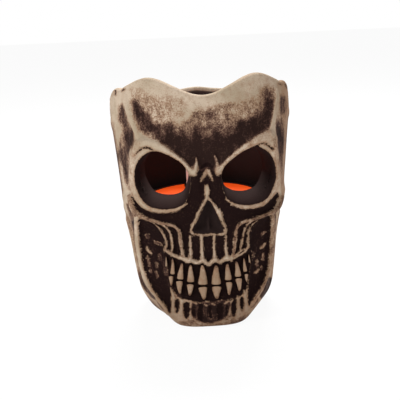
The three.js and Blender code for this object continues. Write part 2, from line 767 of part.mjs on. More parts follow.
function batteryDoor() {
  const panel = box(-doorHalfWidth, doorHalfWidth, doorFront, doorRear, plateFoot, doorTop);
  const tail = box(-hingeHalf, hingeHalf, doorRear - doorLedge, hingePlace, plateFoot, doorTop);
  const knuckle = crosswise(hingeRadius, -hingeHalf, hingeHalf, hingePlace, hingeLevel);
  const bore = crosswise(pinRadius + pinPlay, -doorHalfWidth, doorHalfWidth, hingePlace, hingeLevel);
  const thumb = box(-gripWidth / 2 + fit, gripWidth / 2 - fit, doorFront - fit, doorFront + doorLedge,
    plateFoot - fit, plateFoot + doorThick / 2);
  return shaped([panel, tail, knuckle], [bore, thumb]);
}

function cell(x, facing) {
  const end = cellLength / 2;
  const body = lengthwise(cellRadius, -end, end - cellNubTall, x, cellLevel, roundSteps);
  const nub = lengthwise(cellNubRadius, end - cellNubTall - fit, end, x, cellLevel);
  const joined = shaped([body, nub]);
  if (facing < 0) joined.rotateZ(Math.PI).translate(2 * x, 0, 0);
  return joined.translate(0, bayCentre, 0);
}

// A sheet contact at one end of the bay, with a raised touch for each cell
function contact(places, end) {
  const low = Math.min(...places) - contactPad / 2;
  const high = Math.max(...places) + contactPad / 2;
  const y = bayCentre + end * contactPlace;
  const sheet = box(low, high, y - contactThick / 2, y + contactThick / 2,
    cellLevel - contactPad / 2, cellLevel + contactPad / 2);
  const touch = bayEnd - contactThick / 2 - 2 * fit;
  const cones = places.map((x) => {
    const cone = new THREE.CylinderGeometry(springRadius / 2, springRadius, touch, smallSteps);
    if (end > 0) cone.rotateX(Math.PI);
    return cone.translate(x, y - (end * touch) / 2, cellLevel);
  });
  return shaped([sheet, ...cones]);
}

function switchBody() {
  const foot = plateTop + fit;
  const [width, length] = [switchWidth - 2 * switchWall, switchLength - 2 * switchWall];
  const outer = block(-switchOffset, switchPlace, switchWidth, switchLength, foot, foot + switchTall);
  const inner = block(-switchOffset, switchPlace, width, length, plateFoot, foot + switchTall - switchWall);
  return shaped([outer], [inner]);
}

function switchSlider() {
  const y = switchPlace - knobTravel / 2;
  const foot = plateTop + fit;
  const top = foot + knobFlangeThick;
  const knob = block(-switchOffset, y, knobWidth, knobLength, plateFoot - knobProud, top);
  const flange = block(-switchOffset, y, knobWidth + 2 * knobFlange, knobLength + 2 * knobFlange, foot, top);
  return shaped([knob, flange]);
}

// Tray under the glowing deck: flange to the shell, well for the board, lamp seat
const wellRadius = deckRadius - deckSeat;
const collarRadius = pillarRadius + fit + trayLipWall;
const boardFoot = wellFloor + standoffTall + fit;
const boardTop = boardFoot + boardThick;
const boardPlace = (deckCentre - wellRadius + pillarPlace - collarRadius) / 2;
const boardScrews = [-1, 1].map((side) => new THREE.Vector3(side * standoffReach, boardPlace, 0));
const leadWell = new THREE.Vector3(0, boardPlace - standoffReach / 2, 0);
const linkWell = new THREE.Vector3(0, boardPlace + standoffReach / 2, 0);
const pillarHole = pillarRadius - pillarCollar - fit;
const pillarFoot = flangeTop + fit;

function lampTray() {
  const floorFoot = wellFloor - trayWall;
  const flange = innerPlate(flangeFoot, flangeTop, looseFit);
  const well = upright(wellRadius + trayWall, floorFoot, flangeTop, 0, deckCentre, ringSteps);
  const wellInside = upright(wellRadius, wellFloor, flangeTop + cutOverrun, 0, deckCentre, ringSteps);
  const pan = shaped([flange, well], [wellInside]);
  const lipInner = deckRadius + fit;
  const lip = turned([[lipInner, flangeFoot], [lipInner + trayLipWall, flangeFoot],
    [lipInner + trayLipWall, deckTop + trayLip], [lipInner, deckTop + trayLip], [lipInner, flangeFoot]],
  0, deckCentre, ringSteps);
  const pedestal = upright(collarRadius, floorFoot, flangeTop + pillarCollar, 0, pillarPlace, roundSteps);
  const seat = upright(pillarRadius + fit, flangeTop, flangeTop + cutOverrun, 0, pillarPlace, roundSteps);
  const bore = upright(pillarHole, floorFoot - cutOverrun, flangeTop + cutOverrun, 0, pillarPlace);
  const posts = uprightsAt(boardScrews, standoffRadius, floorFoot, wellFloor + standoffTall);
  const wells = uprightsAt([leadWell, linkWell], leadHole, floorFoot - cutOverrun, flangeTop);
  return shaped([pan, lip, pedestal, ...posts], [seat, bore, ...wells,
    ...uprightsAt(deckBosses, pilotRadius, floorFoot - cutOverrun, flangeTop + cutOverrun),
    ...uprightsAt(boardScrews, pilotRadius, wellFloor - fit, flangeTop)]);
}

function glowDeck() {
  const disc = upright(deckRadius, deckFoot, deckTop, 0, deckCentre, ringSteps);
  const bite = upright(collarRadius + fit, deckFoot - cutOverrun, deckTop + cutOverrun, 0, pillarPlace,
    roundSteps);
  return shaped([disc], [bite]);
}

function lightPillar() {
  const top = pillarFoot + pillarTall;
  const arc = (radius, height) => Array.from({ length: domeSteps }, (_, k) => {
    const turn = (k * Math.PI) / 2 / domeSteps;
    return [radius * Math.cos(turn), height - radius / 2 + (radius / 2) * Math.sin(turn)];
  });
  const inside = pillarRadius - pillarWall;
  const outerArc = arc(pillarRadius, top);
  const innerArc = arc(inside, top - pillarWall).reverse();
  return turned([[0, top - pillarWall], ...innerArc, [inside, pillarFoot], [pillarRadius, pillarFoot],
    ...outerArc, [0, top]], 0, pillarPlace);
}

function circuitBoard(radius, z0, place, screws) {
  const board = upright(radius, z0, z0 + boardThick, place.x, place.y, roundSteps);
  return shaped([board], uprightsAt(screws, pilotRadius, z0 - cutOverrun, z0 + cutOverrun));
}

function lamp(x, y, z0) {
  const shoulder = z0 + lampTall - lampRadius;
  const dome = Array.from({ length: domeSteps }, (_, k) => {
    const turn = (k * Math.PI) / 2 / domeSteps;
    return [lampRadius * Math.cos(turn), shoulder + lampRadius * Math.sin(turn)];
  });
  return turned([[0, z0], [lampRadius + lampFlange, z0], [lampRadius + lampFlange, z0 + lampFlange * 2],
    [lampRadius, z0 + lampFlange * 2], ...dome, [0, z0 + lampTall]], x, y, smallSteps);
}

// A screw whose head bottoms at one height, pointing up or down
function screw(place, headFoot, up, length) {
  const way = up ? 1 : -1;
  const head = headFoot + way * screwHeadTall;
  return turned([[0, headFoot], [screwHeadRadius, headFoot], [screwHeadRadius, head], [screwRadius, head],
    [screwRadius, head + way * length], [0, head + way * length]], place.x, place.y, screwSteps);
}

function lead(points) {
  const circle = Array.from({ length: leadSideCount }, (_, k) => {
    const turn = (k * 2 * Math.PI) / leadSideCount;
    return new THREE.Vector2(leadRadius * Math.cos(turn), leadRadius * Math.sin(turn));
  });
  const extrudePath = new THREE.CatmullRomCurve3(points);
  const options = { steps: leadSteps, extrudePath, bevelEnabled: false };
  return new THREE.ExtrudeGeometry(new THREE.Shape(circle), options);
}

// Where the leads leave the bay, and the routes that they follow inside
const leadExits = [new THREE.Vector3(cellPlaces[cellCount - 1], bayCentre - contactPlace, 0),
  new THREE.Vector3(cellPlaces[0], bayCentre + contactPlace, 0)];
const leadFoot = cellLevel + contactPad / 2 + fit;
const leadRise = deckBossTall;
const boardUnder = boardFoot - fit;

function risingRoute(start, end) {
  const low = start.clone().setZ(start.z + leadRise);
  const high = end.clone().setZ(end.z - leadRise);
  const middle = low.clone().lerp(high, 0.5);
  return [start, low, middle, high, end];
}

function batteryLead() {
  const start = leadExits[0].clone().setZ(leadFoot);
  return lead(risingRoute(start, new THREE.Vector3(leadSpacing / 2, leadWell.y, boardUnder)));
}

function switchLead() {
  const start = new THREE.Vector3(-switchOffset, switchPlace, plateTop + fit + switchTall + fit);
  return lead(risingRoute(start, new THREE.Vector3(-leadSpacing / 2, leadWell.y, boardUnder)));
}

function linkLead() {
  const start = leadExits[1].clone().setZ(leadFoot);
  const switchEnd = switchPlace + switchLength / 2 + fit;
  const end = new THREE.Vector3(-switchOffset, switchEnd, plateTop + switchTall / 2);
  const above = start.clone().setZ(bayTop + bayWall + leadHole);
  const behind = end.clone().setY(end.y + leadHole * 2);
  const over = new THREE.Vector3(-bayHalfWidth - bayWall - leadHole, behind.y, above.z - leadHole);
  return lead([start, above, over, behind, end]);
}

function pillarLead() {
  const start = new THREE.Vector3(0, linkWell.y, boardUnder);
  const end = new THREE.Vector3(0, pillarPlace, pillarFoot - fit);
  const drop = wellFloor - trayWall - leadHole * 2;
  const under = new THREE.Vector3(0, (start.y + end.y) / 2, drop - leadHole);
  return lead([start, start.clone().setZ(drop + leadHole), under, end.clone().setZ(drop + leadHole), end]);
}

const finishes = {
  bone: { color: 0xc4b59c, roughness: 0.72, metalness: 0 },
  blackPlastic: { color: 0x1c1817, roughness: 0.6, metalness: 0 },
  orangePlastic: { color: 0xf0561c, roughness: 0.4, metalness: 0, emissive: 0xd04010 },
  frosted: { color: 0xe6d8cf, roughness: 0.5, metalness: 0 },
  lampClear: { color: 0xf4efe2, roughness: 0.15, metalness: 0 },
  circuit: { color: 0x2e5a3a, roughness: 0.5, metalness: 0 },
  steel: { color: 0xb9bbbd, roughness: 0.35, metalness: 1 },
  cellWrap: { color: 0x33363a, roughness: 0.35, metalness: 0.2 },
  rubber: { color: 0x2a2827, roughness: 0.9, metalness: 0 },
  redLead: { color: 0xb3211c, roughness: 0.5, metalness: 0 },
  blackLead: { color: 0x18181a, roughness: 0.5, metalness: 0 },
};

const skull = new THREE.Group();

function add(name, finish, geometry, parent = skull) {
  const mesh = new THREE.Mesh(tidy(geometry), new THREE.MeshStandardMaterial(finishes[finish]));
  mesh.name = name;
  parent.add(mesh);
}

function addShell() {
  add('face_shell', 'bone', shellHalf(true));
  add('rear_shell', 'bone', shellHalf(false));
}

function addBase() {
  add('base_plate', 'blackPlastic', basePlate());
  add('battery_door', 'blackPlastic', batteryDoor());
  add('hinge_pin', 'steel', crosswise(pinRadius, -hingeHalf - earWidth + fit, hingeHalf + earWidth - fit,
    hingePlace, hingeLevel));
  plateBosses.forEach((place, k) => {
    add(`base_screw_${k + 1}`, 'steel', screw(place, plateFoot, true, screwLength));
  });
  padAngles.forEach((turn, k) => {
    const angle = THREE.MathUtils.degToRad(turn);
    const place = around(innerRadius(angle, plateFoot) - padInset, angle, 0);
    add(`foot_pad_${k + 1}`, 'rubber', upright(padRadius, 0, plateFoot - fit, place.x, place.y));
  });
}

function addPower() {
  cellPlaces.forEach((x, k) => add(`battery_${k + 1}`, 'cellWrap', cell(x, k % 2 ? 1 : -1)));
  add('contact_front_pair', 'steel', contact(cellPlaces.slice(0, 2), -1));
  add('contact_front_single', 'steel', contact(cellPlaces.slice(2), -1));
  add('contact_rear_single', 'steel', contact(cellPlaces.slice(0, 1), 1));
  add('contact_rear_pair', 'steel', contact(cellPlaces.slice(1), 1));
  add('switch_body', 'blackPlastic', switchBody());
  add('switch_slider', 'blackPlastic', switchSlider());
}

function addLights() {
  const lampPlaces = Array.from({ length: lampCount }, (_, k) => (k + 0.5) * (2 * Math.PI / lampCount));
  const middle = new THREE.Vector3(0, boardPlace, 0);
  const pillarMiddle = new THREE.Vector3(0, pillarPlace, 0);
  const pillarBoardRadius = pillarRadius - pillarWall - looseFit;
  add('lamp_tray', 'blackPlastic', lampTray());
  add('glow_deck', 'orangePlastic', glowDeck());
  add('light_pillar', 'frosted', lightPillar());
  add('led_board', 'circuit', circuitBoard(boardRadius, boardFoot, middle, boardScrews));
  lampPlaces.forEach((turn, k) => add(`led_${k + 1}`, 'lampClear',
    lamp(lampReach * Math.cos(turn), boardPlace + lampReach * Math.sin(turn), boardTop + fit)));
  add('pillar_board', 'circuit', circuitBoard(pillarBoardRadius, pillarFoot, pillarMiddle, []));
  add('pillar_led', 'lampClear', lamp(0, pillarPlace, pillarFoot + boardThick + fit));
  const trayScrewLength = screwLength - trayFlange;
  deckBosses.forEach((place, k) => {
    const head = flangeTop + fit + screwHeadTall;
    add(`tray_screw_${k + 1}`, 'steel', screw(place, head, false, trayScrewLength));
  });
  boardScrews.forEach((place, k) => {
    const head = boardTop + fit + screwHeadTall;
    add(`board_screw_${k + 1}`, 'steel', screw(place, head, false, boardThick + standoffTall));
  });
}

function addLeads() {
  add('lead_battery', 'redLead', batteryLead());
  add('lead_switch', 'blackLead', switchLead());
  add('lead_link', 'blackLead', linkLead());
  add('lead_pillar', 'redLead', pillarLead());
}

addShell();
addBase();
addPower();
addLights();
addLeads();

export default skull;
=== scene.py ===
"""Looks of the hollow skull decoration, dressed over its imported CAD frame."""
import logging
import math
from dataclasses import dataclass, field
from enum import Enum
from typing import Sequence

import bpy
import numpy as np
from mathutils import Matrix, Vector


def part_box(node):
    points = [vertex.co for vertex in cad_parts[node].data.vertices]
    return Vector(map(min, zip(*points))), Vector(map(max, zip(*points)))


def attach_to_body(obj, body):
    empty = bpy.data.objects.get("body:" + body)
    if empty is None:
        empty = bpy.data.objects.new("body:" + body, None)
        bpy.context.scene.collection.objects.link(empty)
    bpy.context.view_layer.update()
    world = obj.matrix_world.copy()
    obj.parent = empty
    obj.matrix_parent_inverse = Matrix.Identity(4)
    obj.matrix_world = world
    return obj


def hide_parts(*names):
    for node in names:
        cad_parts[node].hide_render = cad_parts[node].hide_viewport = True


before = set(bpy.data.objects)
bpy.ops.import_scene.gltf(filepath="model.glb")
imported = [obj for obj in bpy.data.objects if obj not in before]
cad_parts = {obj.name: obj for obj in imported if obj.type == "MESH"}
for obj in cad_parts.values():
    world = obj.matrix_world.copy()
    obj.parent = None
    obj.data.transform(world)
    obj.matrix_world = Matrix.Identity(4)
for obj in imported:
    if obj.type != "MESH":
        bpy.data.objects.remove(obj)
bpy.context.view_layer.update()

logging.basicConfig(level=logging.INFO, format="%(message)s")
LOG = logging.getLogger("skull")

Array = np.ndarray
Pair = tuple[float, float]
Row = tuple[float, ...]
Points = Sequence[Row]
Piece = bpy.types.Object
Socket = bpy.types.NodeSocket
TINY = 1e-9


# Small shared maths

def soft_step(value: Array, low: float, high: float) -> Array:
    """Smooth rise from 0 at low to 1 at high.

    Args:
        value: Values to map.
        low: Value that gives 0.
        high: Value that gives 1.

    Returns:
        Shares from 0 to 1.
    """
    share = np.clip((value - low) / (high - low), 0.0, 1.0)
    return share * share * (3.0 - 2.0 * share)


def smooth_table(places: Sequence[float], values: Sequence[float], at: Array) -> Array:
    """Smooth curve through a table of values.

    Args:
        places: Rising places of the table.
        values: Value at each place.
        at: Places to read.

    Returns:
        The value at each place asked for.
    """
    where, what = np.asarray(places, float), np.asarray(values, float)
    last = len(where) - 1
    low, high = np.maximum(np.arange(last + 1) - 1, 0), np.minimum(np.arange(last + 1) + 1, last)
    slope = (what[high] - what[low]) / (where[high] - where[low])
    k = np.clip(np.searchsorted(where, at, side="left") - 1, 0, last - 1)
    span = where[k + 1] - where[k]
    t = np.clip((at - where[k]) / span, 0.0, 1.0)
    start = 2 * t**3 - 3 * t**2 + 1
    pull = (t**3 - 2 * t**2 + t) * span * slope[k] + (t**3 - t**2) * span * slope[k + 1]
    return start * what[k] + (1 - start) * what[k + 1] + pull


def rounded(points: Points, steps: int = 5, closed: bool = True) -> Array:
    """Smooth line through given points.

    Args:
        points: Corner points, all with the same number of values.
        steps: Points per span.
        closed: Whether the line runs back to its start.

    Returns:
        The finer line, one row per point.
    """
    line = np.asarray(points, float)
    count = len(line)
    picked = []
    for k in range(count if closed else count - 1):
        index = [k - 1, k, k + 1, k + 2]
        index = [i % count if closed else min(max(i, 0), count - 1) for i in index]
        a, b, c, d = line[index]
        for t in np.arange(steps) / steps:
            picked.append(0.5 * (2 * b + (c - a) * t + (2 * a - 5 * b + 4 * c - d) * t**2
                                 + (3 * b - a - 3 * c + d) * t**3))
    if not closed:
        picked.append(line[-1])
    return np.array(picked)


def near(points: Array, line: Array, margin: float) -> Array:
    """Indices of the points within a margin of a line's box.

    Args:
        points: Points in the plane.
        line: Line whose box is used.
        margin: Distance round the box.

    Returns:
        Indices into the points.
    """
    low, high = line[:, :2].min(axis=0) - margin, line[:, :2].max(axis=0) + margin
    return np.flatnonzero(np.all((points > low) & (points < high), axis=1))


def to_piece(points: Array, start: Array, end: Array) -> tuple[Array, Array]:
    """Nearest place on one straight piece of a line.

    Args:
        points: Points in the plane.
        start: Where the piece starts.
        end: Where it ends.

    Returns:
        The place as a share of the piece, and the distance to it.
    """
    along = end[:2] - start[:2]
    share = np.clip(((points - start[:2]) @ along) / (float(along @ along) or TINY), 0.0, 1.0)
    return share, np.hypot(*(points - start[:2] - share[:, None] * along).T)


def line_distance(points: Array, line: Array, margin: float = 12.0) -> Array:
    """Distance from points to the edge of a stroke, negative on the stroke.

    Args:
        points: Points in the plane.
        line: Stroke as rows of place, and half width where there is a third value.
        margin: Distance past which the result is only large.

    Returns:
        Distance of each point.
    """
    best = np.full(len(points), margin * 2)
    picked = near(points, line, margin)
    if not len(picked):
        return best
    own, least = points[picked], best[picked]
    for start, end in zip(line[:-1], line[1:]):
        t, gap = to_piece(own, start, end)
        if line.shape[1] > 2:
            gap = gap - start[2] - t * (end[2] - start[2])
        least = np.minimum(least, gap)
    best[picked] = least
    return best


def outline_distance(points: Array, outline: Array, margin: float = 12.0) -> Array:
    """Signed distance to a closed outline, negative inside.

    Args:
        points: Points in the plane.
        outline: Corners of the outline.
        margin: Distance past which the result is only large.

    Returns:
        Distance of each point.
    """
    best = np.full(len(points), margin * 2)
    picked = near(points, outline, margin)
    if not len(picked):
        return best
    own = points[picked]
    least, inside = np.full(len(own), margin * 2), np.zeros(len(own), bool)
    for start, end in zip(outline, np.roll(outline, -1, axis=0)):
        least = np.minimum(least, to_piece(own, start, end)[1])
        run, fall = end - start
        crosses = (start[1] > own[:, 1]) != (end[1] > own[:, 1])
        inside ^= crosses & (own[:, 0] < start[0] + (own[:, 1] - start[1]) * run / (fall or TINY))
    best[picked] = np.where(inside, -least, least)
    return best


def wrapped(angle: Array) -> Array:
    """Angle brought between minus and plus half a turn."""
    return (angle + math.pi) % (2 * math.pi) - math.pi


# The form of the shell, shared by both halves

@dataclass(frozen=True)
class SkullForm:
    """Sizes of the shell's section and rim, in metres and in shares of them."""

    height: float = 0.207
    side_reach: float = 0.0742
    face_reach: float = 0.068
    back_reach: float = 0.0704
    jaw_reach: float = 0.077
    shell_wall: float = 0.0045
    face_wall: float = 0.0065
    seam: float = 0.008
    seam_gap: float = 0.0003
    foot: float = 0.001
    lip: float = 0.0016
    jaw_slant: float = math.radians(66.7)
    rear_square: float = 0.87
    face_square: float = 0.77
    jaw_square: float = 0.167
    square_blend: float = 0.25
    nose_level: float = 0.0971
    nose_swell: Row = (0.0182, 0.0203, 0.0041)
    wall_blend: Pair = (0, 0.6)
    seam_rounds: int = 12
    most_sine: float = 0.9
    stations: Row = (0, 0.05, 0.106, 0.213, 0.319, 0.473, 0.628, 0.773, 0.845, 0.918, 1)
    sides: Row = (0.733, 0.77, 0.8, 0.813, 0.841, 0.916, 0.957, 0.989, 1, 0.984, 0.943)
    fronts: Row = (0.676, 0.728, 0.794, 0.882, 0.941, 0.978, 1, 0.993, 0.971, 0.941, 0.882)
    backs: Row = (0.725, 0.783, 0.841, 0.899, 0.942, 0.986, 1, 1, 0.993, 0.978, 0.957)
    jaws: Row = (0.534, 0.635, 0.74, 0.8125, 0.87, 0.935, 0.987, 1, 1, 0.987, 0.948)
    rim_turns: Row = (-0.05, 0, 0.05, 0.117, 0.17, 0.215, 0.25, 0.305, 0.34, 0.4, 0.445, 0.49, 0.6, 0.8,
                      0.92, 1, 1.08)
    rim_levels: Row = (0.941, 0.933, 0.941, 0.968, 0.99, 0.998, 0.991, 0.968, 0.953, 0.947, 0.929,
                       0.905, 0.884, 0.866, 0.871, 0.88, 0.871)

    def plain_radius(self, angle: Array, z: Array) -> Array:
        """Radius of the plain section.

        Args:
            angle: Turn from the middle of the face.
            z: Height.

        Returns:
            Radius at each place.
        """
        level = z / self.height
        side, ahead = np.abs(np.sin(angle)), np.cos(angle)
        width, front, rear, jaw = (reach * smooth_table(self.stations, shares, level) for reach, shares in (
            (self.side_reach, self.sides), (self.face_reach, self.fronts),
            (self.back_reach, self.backs), (self.jaw_reach, self.jaws)))
        faced = 0.5 + 0.5 * np.tanh(ahead / self.square_blend)
        power = 2 / (self.rear_square + (self.face_square - self.rear_square) * faced)
        jaw_power = 2 / self.jaw_square
        reach = np.where(ahead > 0, ahead / front, -ahead / rear)
        oval = ((side / width) ** power + reach ** power) ** (1 / power)
        slant = np.maximum(0, side * math.sin(self.jaw_slant) + ahead * math.cos(self.jaw_slant)) / jaw
        return (oval ** jaw_power + slant ** jaw_power) ** (-1 / jaw_power)

    def inner_radius(self, angle: Array, z: Array) -> Array:
        """Radius of the inner wall, which swells behind the nose.

        Args:
            angle: Turn from the middle of the face.
            z: Height.

        Returns:
            Radius at each place.
        """
        plain = self.plain_radius(angle, z)
        front = soft_step(np.cos(angle), *self.wall_blend)
        half_width, half_height, most = self.nose_swell
        across, above = np.sin(angle) * plain / half_width, (z - self.nose_level) / half_height
        swelling = most * np.exp(-across**2 - above**2) * front
        return plain - (self.shell_wall + (self.face_wall - self.shell_wall) * front) - swelling

    def rim(self, angle: Array) -> Array:
        """Height of the rim at each turn from the middle of the face."""
        turn = np.abs(wrapped(angle)) / math.pi
        return self.height * smooth_table(self.rim_turns, self.rim_levels, turn)

    def seam_angle(self, z: Array, front: bool) -> Array:
        """Turn at which the section meets the seam plane.

        Args:
            z: Height.
            front: Whether it is the face's side of the seam.

        Returns:
            Turn at each height.
        """
        plane = self.seam + (-0.5 if front else 0.5) * self.seam_gap
        angle = np.full(np.shape(z), math.pi / 2)
        for _ in range(self.seam_rounds):
            radius = self.plain_radius(angle, z)
            angle = math.pi / 2 + np.arcsin(np.clip(plane / radius, -self.most_sine, self.most_sine))
        return angle


def around(radius: Array, angle: Array, z: Array) -> Array:
    """Points at a radius and a turn from the middle of the face."""
    return np.stack([radius * np.sin(angle), -radius * np.cos(angle), z + 0 * angle], axis=-1)


@dataclass(frozen=True)
class FrontView:
    """The fixed view from the front in which the face's lines are laid out, in units of its plane."""

    azimuth: float = math.radians(-2.6)
    elevation: float = math.radians(15.5)
    roll: float = math.radians(-2.4)
    distance: float = 0.7
    focal: float = 832.0
    width: float = 400.0
    middle: Pair = (203.5, 199.6)
    target: Row = (0.0, 0.0, 0.096)

    def axes(self) -> tuple[Array, Array, Array]:
        """Directions of the view.

        Returns:
            Its right, up and back axes.
        """
        az, el, roll = self.azimuth, self.elevation, self.roll
        back = np.array([math.sin(az) * math.cos(el), -math.cos(az) * math.cos(el), math.sin(el)])
        right = np.cross(-back, [0, 0, 1])
        right /= np.linalg.norm(right)
        up = np.cross(right, -back)
        level = math.cos(roll) * right + math.sin(roll) * up
        return level, -math.sin(roll) * right + math.cos(roll) * up, back

    def place(self) -> Array:
        """Where the view is taken from."""
        return np.asarray(self.target) + self.distance * self.axes()[2]

    def project(self, points: Array) -> Array:
        """Places of points in the view's plane.

        Args:
            points: Points in space.

        Returns:
            Two values per point, rightwards and downwards.
        """
        right, up, back = self.axes()
        away = points - self.place()
        deep = -(away @ back)
        return np.stack([self.middle[0] + self.focal * (away @ right) / deep,
                         self.middle[1] - self.focal * (away @ up) / deep], axis=-1)


FORM = SkullForm()
VIEW = FrontView()
FACE_NEARER = 0.9
UNIT = VIEW.distance / VIEW.focal * FACE_NEARER


# Lines of the face, laid out in the front view

LEFT_SOCKET = rounded((
    (134.4, 176), (135, 185), (137, 190.5), (140.4, 197), (144.9, 203), (149.5, 206.6), (156, 208.6),
    (164, 209.4), (172, 209), (179, 207), (184.6, 203.4), (188.2, 196), (190.2, 188), (190.6, 180),
    (187.4, 171.5), (182, 164), (174, 158.4), (167, 154.8), (160, 152.2), (152.5, 151.3), (146.5, 153.5),
    (140.5, 158), (136.4, 164.5), (134.6, 170)), 4)
RIGHT_SOCKET = rounded((
    (276.1, 176), (275.5, 181), (273.4, 187), (270, 194), (265.6, 199.6), (260, 202.6), (253, 204.6),
    (245, 205), (238, 204.2), (232, 201.8), (227, 198.5), (224, 192), (222, 185), (221.2, 177),
    (223, 169.5), (228, 162.8), (236, 156.2), (244, 151), (252, 147.2), (258, 146.4), (264, 149),
    (270, 154), (273.6, 160), (275.4, 167)), 4)
NOSE = rounded((
    (207.5, 200.6), (203, 208.8), (198.8, 217.5), (194.4, 226.3), (192.8, 231.2), (195, 233),
    (202.5, 234), (210, 233.2), (220, 233.4), (223.6, 231.5), (222.5, 226.3), (218.8, 217.5),
    (215, 210), (211.3, 202.5)), 4)
OPENINGS = (LEFT_SOCKET, RIGHT_SOCKET, NOSE)


class Finish(Enum):
    """Whether a line stands up as bone or is cut in as a dark mark."""

    BONE = "bone"
    MARK = "mark"


@dataclass(frozen=True)
class Pool:
    """A sunken area filled with dark paint."""

    outline: Points
    depth: float
    soft: float = 3.0


@dataclass(frozen=True)
class Stroke:
    """A raised bone line or a cut dark one, as places with half widths; tone browns the bone."""

    line: Points
    rise: float
    finish: Finish = Finish.BONE
    spread: float = 2.0
    tone: float = 0.0


@dataclass(frozen=True)
class Wash:
    """An area of speckled brown paint, which adds to those under it; some also stand for painted shade."""

    outline: Points
    strength: float
    soft: float
    depth: float = 0.0


